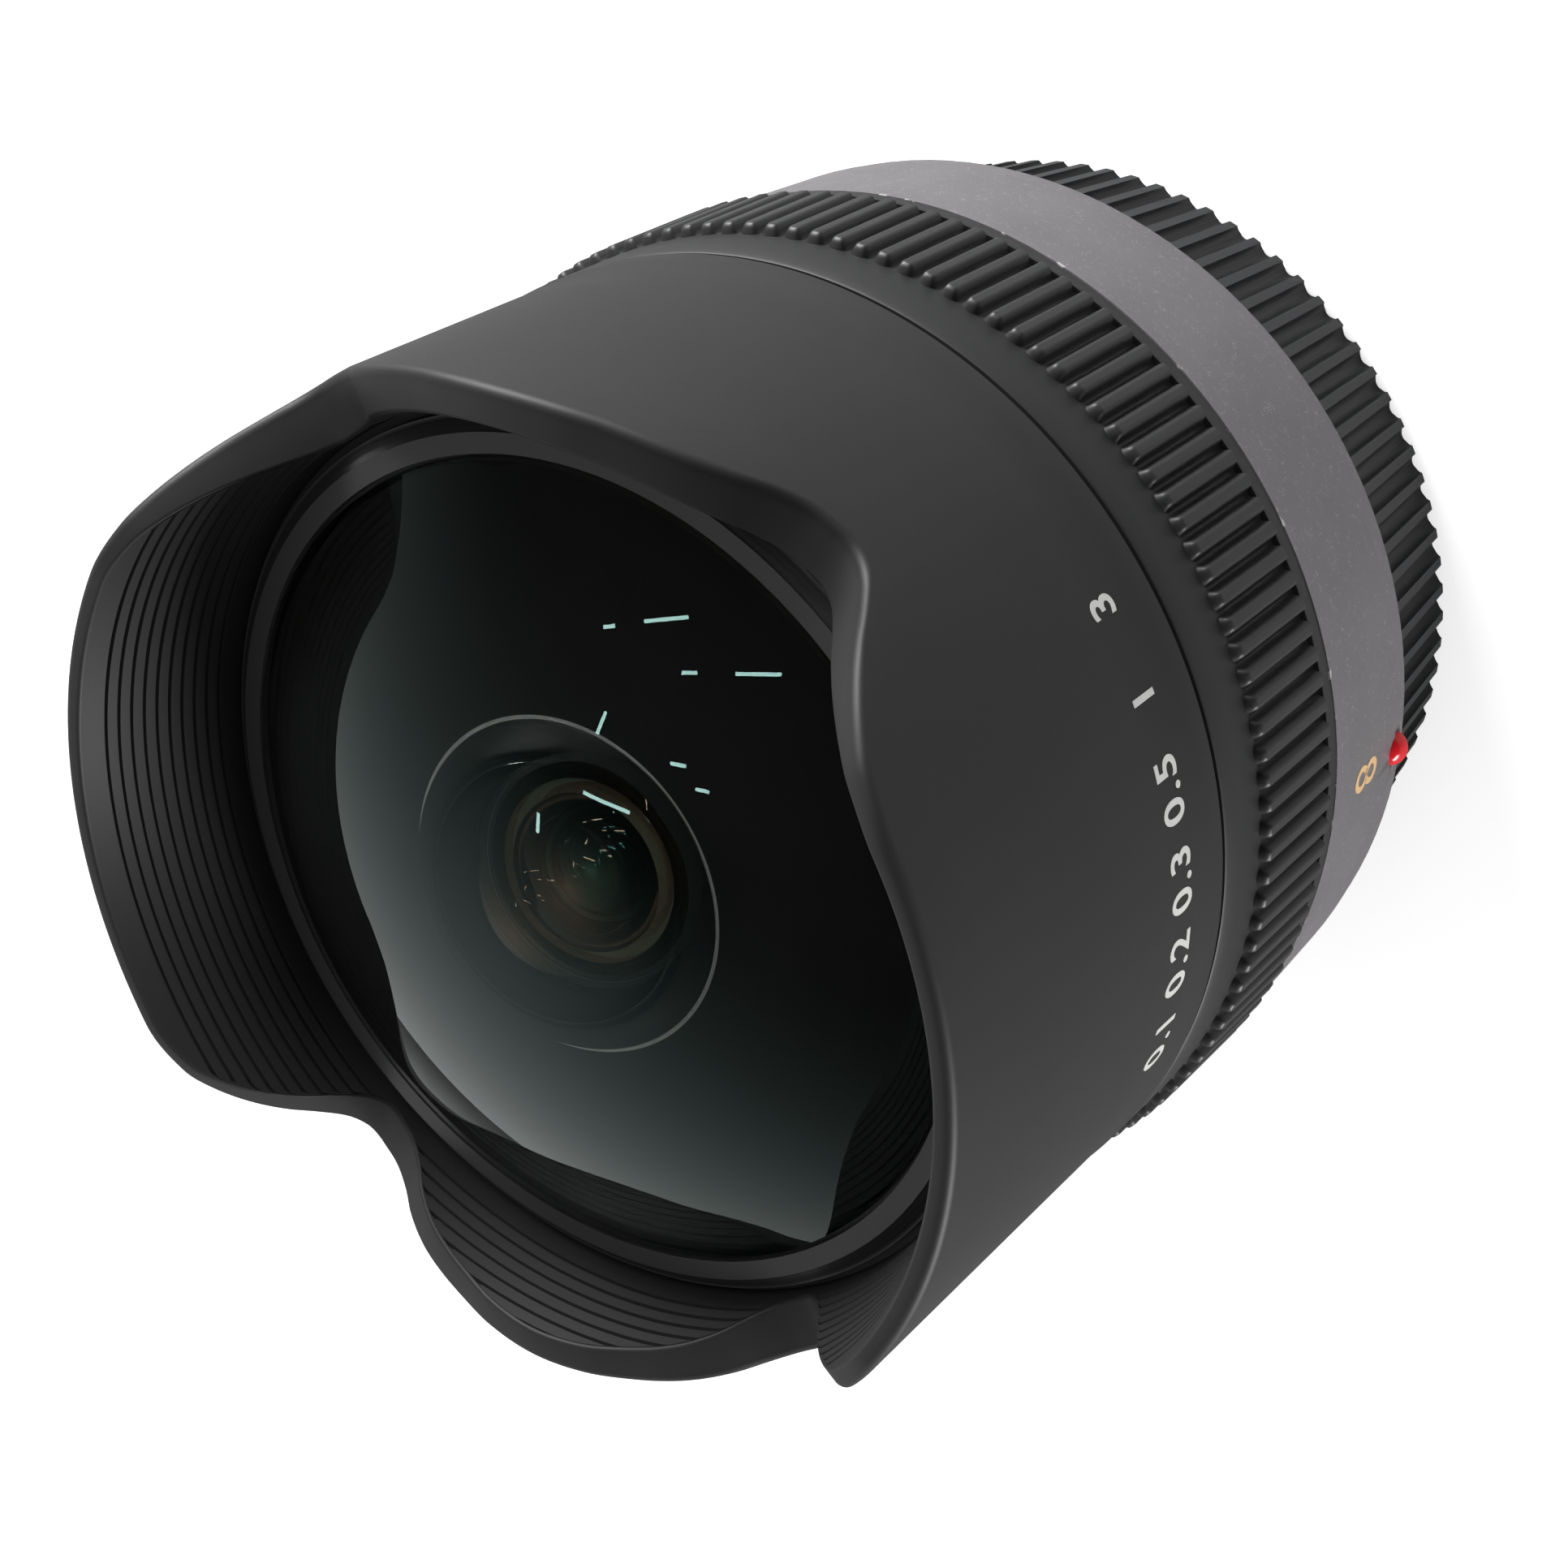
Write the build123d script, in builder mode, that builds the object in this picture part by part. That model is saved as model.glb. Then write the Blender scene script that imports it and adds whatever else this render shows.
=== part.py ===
"""Fisheye lens with a fixed petal hood, standing on its rear cap.

Millimetres. The origin is the centre of the mount's flange face, +Z runs along the optical
axis towards the front, and +Y points to the index dot and the upper long petal.
"""

import os
from math import copysign, cos, hypot, pi, radians, sin, sqrt

from build123d import *

# Clearances and cutting allowances
seat_fit = 0.03
running_fit = 0.05
part_line = 0.1
overrun = 1.0
thin_gap = 0.05

# Outside barrel, from the flange forward
flange_thickness = 1.2
flange_set = 1.2
band_taper = 0.6
band_over_ring = 0.3
band_length = 10.6
band_lip = 1.7
band_lip_step = 0.12
band_edge = 0.15
back_plate = 1.0
back_plate_bore = 19.0
ring_length = 12.88

# Focus ring
ring_radius = 29.7
ring_rear_band = 1.1
ring_rear_step = 0.35
ring_wall = 1.7
ring_edge = 0.2
rib_count = 128
rib_height = 0.65
rib_top = 0.62
rib_foot = 0.98
rib_length = 7.7
rib_slot = 0.2
rib_nose = 0.35
washer_thickness = 0.3
washer_width = 0.9
washer_gap = 0.06
strip_thickness = 0.3
strip_length = 3.0
strip_windows = 48
strip_window = 0.9
strip_margin = 0.5

# Hood and the seat of the front glass
hood_set = 0.1
hood_crease_place = 1.7
hood_crease = 0.12
petal_height = 12.0
side_petal_height = 8.1
notch_height = 2.6
petal_half_flat = 29.5
notch_angle = 55.5
petal_turn = 90.0
hood_wall = 1.2
hood_throat_set = 3.3
rim_round = 0.55
rim_facets = 4
rim_run_out = 2.5
rim_rise = 0.06
groove_count = 10
groove_pitch = 0.72
groove_depth = 0.28
seat_flange = 1.4
seat_flange_overhang = 2.3
flank_angle_shares = (0.27, 0.404, 0.542, 0.662, 0.758, 0.85, 0.935)
flank_height_shares = (0.915, 0.798, 0.628, 0.436, 0.245, 0.085, 0.011)
hump_angle_shares = (0.971, 0.878, 0.786, 0.704, 0.597, 0.493, 0.348, 0.197)
hump_height_shares = (0.01, 0.073, 0.227, 0.418, 0.6, 0.718, 0.836, 0.945)

# Ring that holds the front glass
glass_ring_set = 0.5
glass_ring_width = 2.04
glass_ring_face = 1.15
glass_ring_step = 0.3
glass_ring_drop = 0.2
glass_ring_steps = 3
glass_ring_lip = 0.55
glass_ring_rise = 2.5
glass_step = 0.5
thread_height = 0.7
seal_thickness = 0.3

# Glass elements: curves are positive when the centre lies behind the surface
glass_rim = 0.6
dome_curve = 40.0
dome_height = 10.2
dome_set = 0.31
dome_thickness = 3.2
bowl_curve = 8.8
front_glass_set = 1.2
front_glass_edge = 1.6
gap_1_2 = 5.95
element_2_curve = 24.0
element_2_back_curve = 7.2
element_2_thickness = 1.3
element_2_clear = 7.4
element_2_back_clear = 5.6
gap_2_3 = 4.5
element_3_curve = -40.0
element_3_back_curve = 14.0
element_3_thickness = 1.0
element_3_clear = 6.6
element_3_back_clear = 5.8
gap_3_4 = 0.9
element_4_curve = 16.0
element_4_back_curve = -18.0
element_4_thickness = 3.4
element_4_clear = 6.0
gap_4_5 = 0.5
element_5_curve = 30.0
element_5_back_curve = -30.0
element_5_thickness = 2.2
element_5_clear = 5.6
gap_5_cell = 0.6
element_6_curve = 14.0
element_6_back_curve = -40.0
element_6_thickness = 2.0
element_6_clear = 5.0
gap_6_iris = 0.8
gap_6_carrier = 1.4
element_7_curve = 16.0
cement_curve = -9.0
element_7_thickness = 3.0
element_8_back_curve = 25.0
element_8_thickness = 1.0
doublet_clear = 5.2
cement_film = 0.02
element_9_curve = 20.0
element_9_back_curve = -30.0
element_9_thickness = 2.6
element_9_clear = 6.4
gap_9_10 = 1.4
element_10_curve = -16.0
element_10_back_curve = -40.0
element_10_thickness = 1.3
element_10_clear = 6.2

# Chassis barrel, circuit board and bulkhead
board_gap = 1.2
board_thickness = 0.6
board_inner_radius = 19.6
board_fit = 0.4
board_standoff = 0.4
bulkhead = 1.2
chassis_wall = 1.55
neck_set = 1.05
neck_wall = 1.5
neck_gap = 0.4
boss_radius = 1.6
boss_set = 2.8
barrel_screw_radius = 0.6
barrel_screw_head = 1.1
barrel_screw_head_height = 0.5
barrel_screw_length = 2.6
barrel_screw_start = 75.0
barrel_screw_count = 3
chip_width = 4.0
chip_depth = 3.2
chip_height = 0.8
chip_count = 4
chip_set = 3.0
chip_start = 92.0
chip_pitch = 24.0
sensor_angle = 225.0
sensor_width = 3.6
sensor_length = 2.4
sensor_window_gap = 0.1
cable_width = 4.0
cable_thickness = 0.15
cable_place = 21.0
cable_slot_gap = 0.4

# Rear cell
rear_cell_radius = 9.8
rear_cell_flange = 11.2
rear_cell_flange_thickness = 1.0
rear_cell_lip = 0.4
rear_cell_seat = 0.5
rear_cell_ring = 0.7
rear_lens_set = 0.9

# Focus carrier, rods and screw
focus_travel = 2.6
carrier_gap = 0.4
carrier_seat = 0.45
carrier_lip = 0.2
carrier_wall = 1.5
arm_thickness = 1.6
arm_width = 2.4
rod_radius = 0.9
rod_place = 14.2
main_rod_angle = 90.0
side_rod_angle = 290.0
sleeve_wall = 1.0
sleeve_length = 6.6
fork_wall = 1.0
screw_radius = 0.75
screw_place = 15.2
screw_angle = 62.0
nut_radius = 1.55
nut_flange = 2.2
nut_length = 2.4
motor_radius = 3.1
motor_length = 6.0
motor_collar = 1.4
motor_collar_height = 0.4
shaft_set = 0.8

# Iris
blade_count = 7
blade_thickness = 0.1
blade_gap = 0.04
blade_inner_radius = 4.6
blade_outer_radius = 8.2
blade_pivot_radius = 9.2
blade_pin_radius = 0.4
blade_lobe = 0.95
blade_cam_angle = -13.0
blade_tip_angle = 108.0
blade_root_angle = -4.0
blade_turn = 24.0
iris_ring_turn = 30.0
iris_opening = 4.5
iris_base_thickness = 1.0
iris_ring_thickness = 0.8
iris_cover_thickness = 0.6
iris_plate_radius = 17.0
iris_tube_wall = 0.6
gear_module = 0.3
tooth_root_share = 0.56
tooth_tip_share = 0.2
gear_teeth = 78
sector_teeth = 13
pinion_teeth = 10
pinion_angle = 180.0
pinion_shaft = 0.4
iris_motor_radius = 4.0
iris_motor_length = 7.0
post_radius = 1.3
post_place = 14.8
post_start = 20.0
post_count = 3
iris_screw_radius = 0.5
iris_screw_head = 0.95
iris_screw_head_height = 0.6
iris_boss_wall = 0.9

# Front cell
cell_wall = 1.7
cell_flange = 1.0
cell_flange_set = 0.9
cell_screw_set = 1.2
cell_screw_radius = 0.5
cell_screw_head = 0.9
cell_screw_head_height = 0.6
cell_screw_depth = 0.9
cell_screw_count = 3
cell_screw_start = 45.0
spacer_width = 0.5

# Bayonet mount and what it carries
tube_radius = 18.6
tube_wall = 1.3
tube_length = 4.4
tab_radius = 20.4
tab_thickness = 1.4
tab_set = 2.2
tab_angle = 50.0
tab_count = 3
tab_start = 30.0
mount_screw_set = 4.2
mount_screw_radius = 0.7
mount_screw_head = 1.5
mount_screw_head_height = 0.6
mount_screw_count = 4
mount_screw_start = 30.0
screw_cross = 0.35
lock_slot_width = 2.0
lock_slot_length = 3.2
lock_slot_angle = 140.0
block_arc = 110.0
block_inner_radius = 14.6
block_set = 0.4
pin_count = 11
pin_radius = 0.55
pin_pitch_angle = 8.6
pin_proud = 0.15
pin_depth = 1.2
pin_place = 15.9
pin_start = -90.0 - pin_pitch_angle * (pin_count - 1) / 2
baffle_thickness = 1.0
baffle_set = 0.6
window_width = 17.4
window_height = 13.2
window_corner = 1.2
holder_thickness = 0.3
holder_frame = 1.6
claw_height = 0.7
claw_width = 3.0
claw_wall = 0.3

# Index dot
dot_radius = 1.0
dot_proud = 0.55
dot_depth = 0.9
dot_place = 1.3

# Rear cap
cap_gap = 0.1
cap_set = 0.45
cap_taper = 1.15
cap_length = 11.35
cap_floor = 1.5
cap_wall_set = 1.7
cap_back_round = 0.6
cap_collar = 1.0
cap_rib_count = 92
cap_groove_radius = 0.62
cap_groove_set = 0.1
cap_ring_radius = 21.6
cap_ring_wall = 1.3
cap_ring_gap = 0.4
cap_lug_radius = 19.0
cap_lug_thickness = 1.2
cap_lug_set = 0.7
cap_lug_angle = 40.0
cap_recess_radius = 17.0
cap_recess_depth = 0.35


def sag(curve, radius):
    """Depth of a spherical surface between its vertex and this radius."""
    return curve - copysign(sqrt(curve**2 - radius**2), curve)


def polar(radius, angle, height=None):
    """Point at this radius and angle in degrees, flat or at a height."""
    flat = (radius * cos(radians(angle)), radius * sin(radians(angle)))
    return flat if height is None else (*flat, height)


# Radii that follow from the focus ring, outside first
ring_rear_radius = ring_radius + ring_rear_step
band_front_radius = ring_radius + band_over_ring
band_back_radius = band_front_radius - band_taper
flange_radius = band_back_radius - flange_set
mount_screw_place = flange_radius - mount_screw_set
cap_front_radius = flange_radius - cap_set
cap_back_radius = cap_front_radius - cap_taper
cap_wall_radius = cap_back_radius - cap_wall_set
hood_back_radius = ring_radius
hood_radius = hood_back_radius - hood_set
hood_mouth_radius = hood_radius - hood_wall
hood_throat_radius = hood_radius - hood_throat_set
glass_ring_radius = hood_throat_radius - glass_ring_set
glass_ring_bore = glass_ring_radius - glass_ring_width
front_glass_radius = glass_ring_radius - front_glass_set
dome_radius = glass_ring_bore - dome_set
seat_flange_radius = front_glass_radius - seat_flange_overhang
cell_flange_radius = glass_ring_radius - cell_flange_set
cell_screw_place = cell_flange_radius - cell_screw_set
barrel_radius = ring_radius - ring_wall - running_fit
neck_radius = barrel_radius - neck_set
chassis_inner_radius = barrel_radius - chassis_wall
board_outer_radius = chassis_inner_radius - board_fit
boss_place = chassis_inner_radius - boss_set
chip_place = board_outer_radius - chip_set

# Heights of the outside, from the flange face at zero
band_back = flange_thickness
band_front = band_back + band_length
ring_back = band_front + part_line
ring_front = ring_back + ring_length
hood_back = ring_front + part_line
plate_front = band_back + back_plate
board_back = plate_front + board_gap
board_front = board_back + board_thickness
bulkhead_back = board_front + board_standoff
bulkhead_front = bulkhead_back + bulkhead

# Heights of the optical stack, from the back forward
z10_back = bulkhead_front - rear_lens_set
z10 = z10_back + element_10_thickness
z9_back = z10 + gap_9_10
z9 = z9_back + element_9_thickness
rear_cell_front = z9 + rear_cell_lip
carrier_back = rear_cell_front + carrier_gap
z8_back = carrier_back + carrier_seat + sag(element_8_back_curve, doublet_clear)
z8 = z8_back + element_8_thickness
z7_back = z8 + cement_film
z7 = z7_back + element_7_thickness
carrier_front = z7 + carrier_lip
z6_back = carrier_front + focus_travel + gap_6_carrier
z6 = z6_back + element_6_thickness
iris_back = z6 + gap_6_iris
blades_back = iris_back + iris_base_thickness + thin_gap
iris_ring_back = blades_back + blade_count * (blade_thickness + blade_gap) + thin_gap
cover_back = iris_ring_back + iris_ring_thickness + thin_gap
cell_back = cover_back + iris_cover_thickness
z5_back = cell_back + gap_5_cell
z5 = z5_back + element_5_thickness
z4_back = z5 + gap_4_5
z4 = z4_back + element_4_thickness
z3_back = z4 + gap_3_4
z3 = z3_back + element_3_thickness
z2_back = z3 + gap_2_3
z2 = z2_back + element_2_thickness
z1_back = z2 + gap_1_2
z1 = z1_back + dome_thickness
seat = z1 - dome_height
seat_back = seat - seat_flange
glass_ring_front = seat + glass_ring_rise
glass_shoulder = seat + front_glass_edge
petal_top = seat + petal_height
side_petal_top = seat + side_petal_height
notch_bottom = seat + notch_height

# Other radii that follow from the pieces
ring_bore = barrel_radius + running_fit
gear_radius = gear_module * gear_teeth / 2
pinion_radius = gear_module * pinion_teeth / 2
pinion_place = gear_radius + pinion_radius
tooth_rise = 0.9 * gear_module
tooth_root = 1.2 * gear_module
neck_front = seat_back - neck_gap
tube_bore = tube_radius - tube_wall


def keep(piece, name):
    """Label a finished piece and write it as its own file."""
    piece.part.label = name
    export_step(piece.part, f"parts/{name}.step")


def turn(outline):
    """Solid of revolution about the optical axis from (radius, height) points."""
    with BuildPart() as piece:
        with BuildSketch(Plane.XZ):
            with BuildLine():
                Polyline(*outline, close=True)
            make_face()
        revolve(axis=Axis.Z)
    return piece


def ring_outline(inner, outer, back, front):
    """Plain rectangular ring section."""
    return [(inner, back), (outer, back), (outer, front), (inner, front)]


def element(name, front, back, curve, back_curve, clear, back_clear, half):
    """Glass element with two spherical faces and flat seats outside them."""
    front_edge = front - sag(curve, clear)
    back_edge = back - sag(back_curve, back_clear)
    front_middle = (clear / 2, front - sag(curve, clear / 2))
    back_middle = (back_clear / 2, back - sag(back_curve, back_clear / 2))
    with BuildPart() as piece:
        with BuildSketch(Plane.XZ):
            with BuildLine():
                ThreePointArc((0, front), front_middle, (clear, front_edge))
                Polyline((clear, front_edge), (half, front_edge), (half, back_edge), (back_clear, back_edge))
                ThreePointArc((back_clear, back_edge), back_middle, (0, back))
                Line((0, back), (0, front))
            make_face()
        revolve(axis=Axis.Z)
    keep(piece, name)


def screws(name, place, count, start, head_back, head, head_height, shank, length, into=1):
    """Group of like screws on a circle; into is +1 for shanks that point forward."""
    with BuildPart() as piece:
        with BuildSketch(Plane.XY.offset(head_back)):
            with PolarLocations(place, count, start):
                Circle(head)
        extrude(amount=into * head_height)
        with BuildSketch(Plane.XY.offset(head_back + into * head_height)):
            with PolarLocations(place, count, start):
                Circle(shank)
        extrude(amount=into * length)
        with BuildSketch(Plane.XY.offset(head_back)):
            with PolarLocations(place, count, start):
                Rectangle(head, head * screw_cross)
                Rectangle(head * screw_cross, head)
        extrude(amount=into * head_height / 2, mode=Mode.SUBTRACT)
    keep(piece, name)


def hood_rim(radius, centre, drop):
    """Edge of the rim over one side petal, from one long petal's flat to the next."""
    flank_span = notch_angle - petal_half_flat
    hump_span = petal_turn - notch_angle
    places = [(petal_half_flat - rim_run_out, petal_top + rim_rise), (petal_half_flat, petal_top)]
    for angle_share, height_share in zip(flank_angle_shares, flank_height_shares):
        height = notch_bottom + (petal_top - notch_bottom) * height_share
        places.append((petal_half_flat + flank_span * angle_share, height))
    places.append((notch_angle, notch_bottom))
    for angle_share, height_share in zip(hump_angle_shares, hump_height_shares):
        height = notch_bottom + (side_petal_top - notch_bottom) * height_share
        places.append((petal_turn - hump_span * angle_share, height))
    mirrored = [(2 * petal_turn - angle, height) for angle, height in reversed(places)]
    places = places + [(petal_turn, side_petal_top)] + mirrored
    points = [Vector(polar(radius, centre + angle, height - drop)) for angle, height in places]
    return Edge.make_spline(points)


def rim_section():
    """Radius and drop of the rim's rounded outer corner, from the flat outwards."""
    section = []
    for facet in range(rim_facets + 1):
        angle = facet / rim_facets * pi / 2
        radius = hood_radius - rim_round + rim_round * sin(angle)
        section.append((radius, rim_round - rim_round * cos(angle)))
    return section


def hood_barrel():
    inner_slope = (hood_mouth_radius - hood_throat_radius) / (petal_top - glass_ring_front)
    inside = [(hood_throat_radius, glass_ring_front)]
    for step in range(groove_count):
        height = glass_ring_front + step * groove_pitch
        radius = hood_throat_radius + inner_slope * step * groove_pitch
        inside.append((radius + groove_depth, height))
        inside.append((radius + inner_slope * groove_pitch, height + groove_pitch))
    thread_back = seat + glass_step
    corner = rim_section()
    outline = [
        (neck_radius + seat_fit, hood_back),
        (hood_back_radius, hood_back),
        (hood_back_radius, hood_back + hood_crease_place),
        (hood_radius - hood_crease, hood_back + hood_crease_place),
        (hood_radius - hood_crease, hood_back + hood_crease_place + hood_crease),
        (hood_radius, hood_back + hood_crease_place + hood_crease),
        *[(radius, petal_top - drop) for radius, drop in reversed(corner)],
        (hood_mouth_radius, petal_top),
        *reversed(inside),
        (hood_throat_radius, thread_back + thread_height),
        (glass_ring_radius + seat_fit, thread_back + thread_height),
        (glass_ring_radius + seat_fit, thread_back),
        (front_glass_radius + seat_fit, thread_back),
        (front_glass_radius + seat_fit, seat),
        (seat_flange_radius, seat),
        (seat_flange_radius, seat_back),
        (neck_radius + seat_fit, seat_back),
    ]
    strips = [((hood_throat_radius - overrun, 0), (hood_radius + overrun, 0))]
    for first, last in zip(corner, corner[1:]):
        slope = (last[1] - first[1]) / (last[0] - first[0])
        inner_radius = first[0] - rim_round
        outer_radius = hood_radius + rim_round
        inner = (inner_radius, first[1] - slope * rim_round)
        outer = (outer_radius, last[1] + slope * (outer_radius - last[0]))
        strips.append((inner, outer))
    with BuildPart() as hood:
        with BuildSketch(Plane.XZ):
            with BuildLine():
                Polyline(*outline, close=True)
            make_face()
        revolve(axis=Axis.Z)
        for centre in (petal_turn, 3 * petal_turn):
            for inner, outer in strips:
                inner_edge = hood_rim(inner[0], centre, inner[1])
                outer_edge = hood_rim(outer[0], centre, outer[1])
                strip = Face.make_surface_from_curves(inner_edge, outer_edge)
                extrude(strip, amount=petal_height, dir=(0, 0, 1), mode=Mode.SUBTRACT)
        with BuildSketch(Plane.XY.offset(seat_back)):
            with PolarLocations(cell_screw_place, cell_screw_count, cell_screw_start):
                Circle(cell_screw_radius + seat_fit)
        extrude(amount=cell_screw_depth, mode=Mode.SUBTRACT)
    keep(hood, "hood_barrel")


def front_glass_ring():
    outside = [(glass_ring_radius, seat + glass_step + seat_fit)]
    face_radius = glass_ring_bore + glass_ring_face
    for step in range(glass_ring_steps, 0, -1):
        height = glass_ring_front - step * glass_ring_drop
        outside.append((face_radius + step * glass_ring_step, height))
        outside.append((face_radius + (step - 1) * glass_ring_step, height))
    outside[0] = (face_radius + glass_ring_steps * glass_ring_step, seat + glass_step + seat_fit)
    lip_back = glass_ring_front - glass_ring_lip
    outline = [
        (front_glass_radius + seat_fit, seat + glass_step + seat_fit),
        *outside,
        (face_radius, glass_ring_front),
        (glass_ring_bore, glass_ring_front),
        (glass_ring_bore, lip_back),
        (front_glass_radius + seat_fit, lip_back),
    ]
    keep(turn(outline), "front_glass_ring")


def front_seal():
    inner = dome_radius + part_line
    back = glass_shoulder
    outer = front_glass_radius
    keep(turn(ring_outline(inner, outer, back, back + seal_thickness)), "front_seal")


def front_element():
    """Large meniscus: a dome in front, a deep bowl behind and a shoulder for its ring."""
    dome_edge = z1 - sag(dome_curve, dome_radius)
    bowl_centre = z1_back - bowl_curve
    bowl_radius = sqrt(bowl_curve**2 - (seat - bowl_centre) ** 2)
    front_middle = (dome_radius / 2, z1 - sag(dome_curve, dome_radius / 2))
    back_middle = (bowl_radius / 2, z1_back - sag(bowl_curve, bowl_radius / 2))
    with BuildPart() as piece:
        with BuildSketch(Plane.XZ):
            with BuildLine():
                ThreePointArc((0, z1), front_middle, (dome_radius, dome_edge))
                Polyline(
                    (dome_radius, dome_edge),
                    (dome_radius, glass_shoulder),
                    (front_glass_radius, glass_shoulder),
                    (front_glass_radius, seat),
                    (bowl_radius, seat),
                )
                ThreePointArc((bowl_radius, seat), back_middle, (0, z1_back))
                Line((0, z1_back), (0, z1))
            make_face()
        revolve(axis=Axis.Z)
    keep(piece, "front_element")


def inner_elements():
    element(
        "element_2", z2, z2_back, element_2_curve, element_2_back_curve,
        element_2_clear, element_2_back_clear, element_2_clear + glass_rim,
    )
    element(
        "element_3", z3, z3_back, element_3_curve, element_3_back_curve,
        element_3_clear, element_3_back_clear, element_3_clear + glass_rim,
    )
    element(
        "element_4", z4, z4_back, element_4_curve, element_4_back_curve,
        element_4_clear, element_4_clear, element_4_clear + glass_rim,
    )
    element(
        "element_5", z5, z5_back, element_5_curve, element_5_back_curve,
        element_5_clear, element_5_clear, element_5_clear + glass_rim,
    )
    element(
        "element_6", z6, z6_back, element_6_curve, element_6_back_curve,
        element_6_clear, element_6_clear, element_6_clear + glass_rim,
    )
    element(
        "element_7", z7, z7_back, element_7_curve, cement_curve,
        doublet_clear, doublet_clear, doublet_clear + glass_rim,
    )
    element(
        "element_8", z8, z8_back, cement_curve, element_8_back_curve,
        doublet_clear, doublet_clear, doublet_clear + glass_rim,
    )
    element(
        "element_9", z9, z9_back, element_9_curve, element_9_back_curve,
        element_9_clear, element_9_clear, element_9_clear + glass_rim,
    )
    element(
        "element_10", z10, z10_back, element_10_curve, element_10_back_curve,
        element_10_clear, element_10_clear, element_10_clear + glass_rim,
    )


def front_cell():
    """Stepped tube for elements 2 to 5, with a flange at each end."""
    edge_2 = z2_back - sag(element_2_back_curve, element_2_back_clear)
    edge_3 = z3_back - sag(element_3_back_curve, element_3_back_clear)
    edge_4 = z4_back - sag(element_4_back_curve, element_4_clear)
    edge_5 = z5_back - sag(element_5_back_curve, element_5_clear)
    bore_2 = element_2_clear + glass_rim + seat_fit
    bore_3 = element_3_clear + glass_rim + seat_fit
    bore_4 = element_4_clear + glass_rim + seat_fit
    bore_5 = element_5_clear + glass_rim + seat_fit
    outer = bore_2 + cell_wall
    waist = bore_3 + cell_wall
    outline = [
        (element_5_clear, cell_back),
        (iris_plate_radius, cell_back),
        (iris_plate_radius, cell_back + cell_flange),
        (waist, cell_back + cell_flange),
        (waist, edge_3),
        (outer, edge_2 - cell_wall),
        (outer, seat_back - cell_flange),
        (cell_flange_radius, seat_back - cell_flange),
        (cell_flange_radius, seat_back),
        (outer, seat_back),
        (outer, z2 - sag(element_2_curve, element_2_clear)),
        (bore_2, z2 - sag(element_2_curve, element_2_clear)),
        (bore_2, edge_2),
        (bore_3, edge_2),
        (bore_3, edge_3),
        (bore_4, edge_3),
        (bore_4, edge_4),
        (bore_5, edge_4),
        (bore_5, edge_5),
        (element_5_clear, edge_5),
    ]
    with BuildPart() as cell:
        with BuildSketch(Plane.XZ):
            with BuildLine():
                Polyline(*outline, close=True)
            make_face()
        revolve(axis=Axis.Z)
        with BuildSketch(Plane.XY.offset(seat_back - cell_flange)):
            with PolarLocations(cell_screw_place, cell_screw_count, cell_screw_start):
                Circle(cell_screw_radius + seat_fit)
        extrude(amount=cell_flange, mode=Mode.SUBTRACT)
        with BuildSketch(Plane.XY.offset(cell_back)):
            with PolarLocations(post_place, post_count, post_start):
                Circle(iris_screw_radius + seat_fit)
        extrude(amount=cell_flange, mode=Mode.SUBTRACT)
    keep(cell, "front_cell")


def cell_spacers():
    """Rings that keep elements 2 and 3, 3 and 4, and 4 and 5 apart."""
    edge_2 = z2_back - sag(element_2_back_curve, element_2_back_clear)
    face_3 = z3 - sag(element_3_curve, element_3_clear)
    edge_3 = z3_back - sag(element_3_back_curve, element_3_back_clear)
    face_4 = z4 - sag(element_4_curve, element_4_clear)
    face_5 = z5 - sag(element_5_curve, element_5_clear)
    outer_3 = element_3_clear + glass_rim
    outer_4 = element_4_clear + glass_rim
    outer_5 = element_5_clear + glass_rim
    keep(turn(ring_outline(outer_3 - spacer_width, outer_3, face_3, edge_2)), "spacer_2_3")
    keep(turn(ring_outline(outer_4 - spacer_width, outer_4, face_4, edge_3)), "spacer_3_4")
    inner_5 = outer_5 - spacer_width
    rest_4 = z4_back - sag(element_4_back_curve, inner_5) - seat_fit
    keep(turn(ring_outline(inner_5, outer_5, face_5, rest_4)), "spacer_4_5")


def cell_screws():
    head_back = seat_back - cell_flange - cell_screw_head_height
    length = cell_flange + cell_screw_depth - seat_fit
    screws(
        "cell_screws", cell_screw_place, cell_screw_count, cell_screw_start, head_back,
        cell_screw_head, cell_screw_head_height, cell_screw_radius, length,
    )


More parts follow.
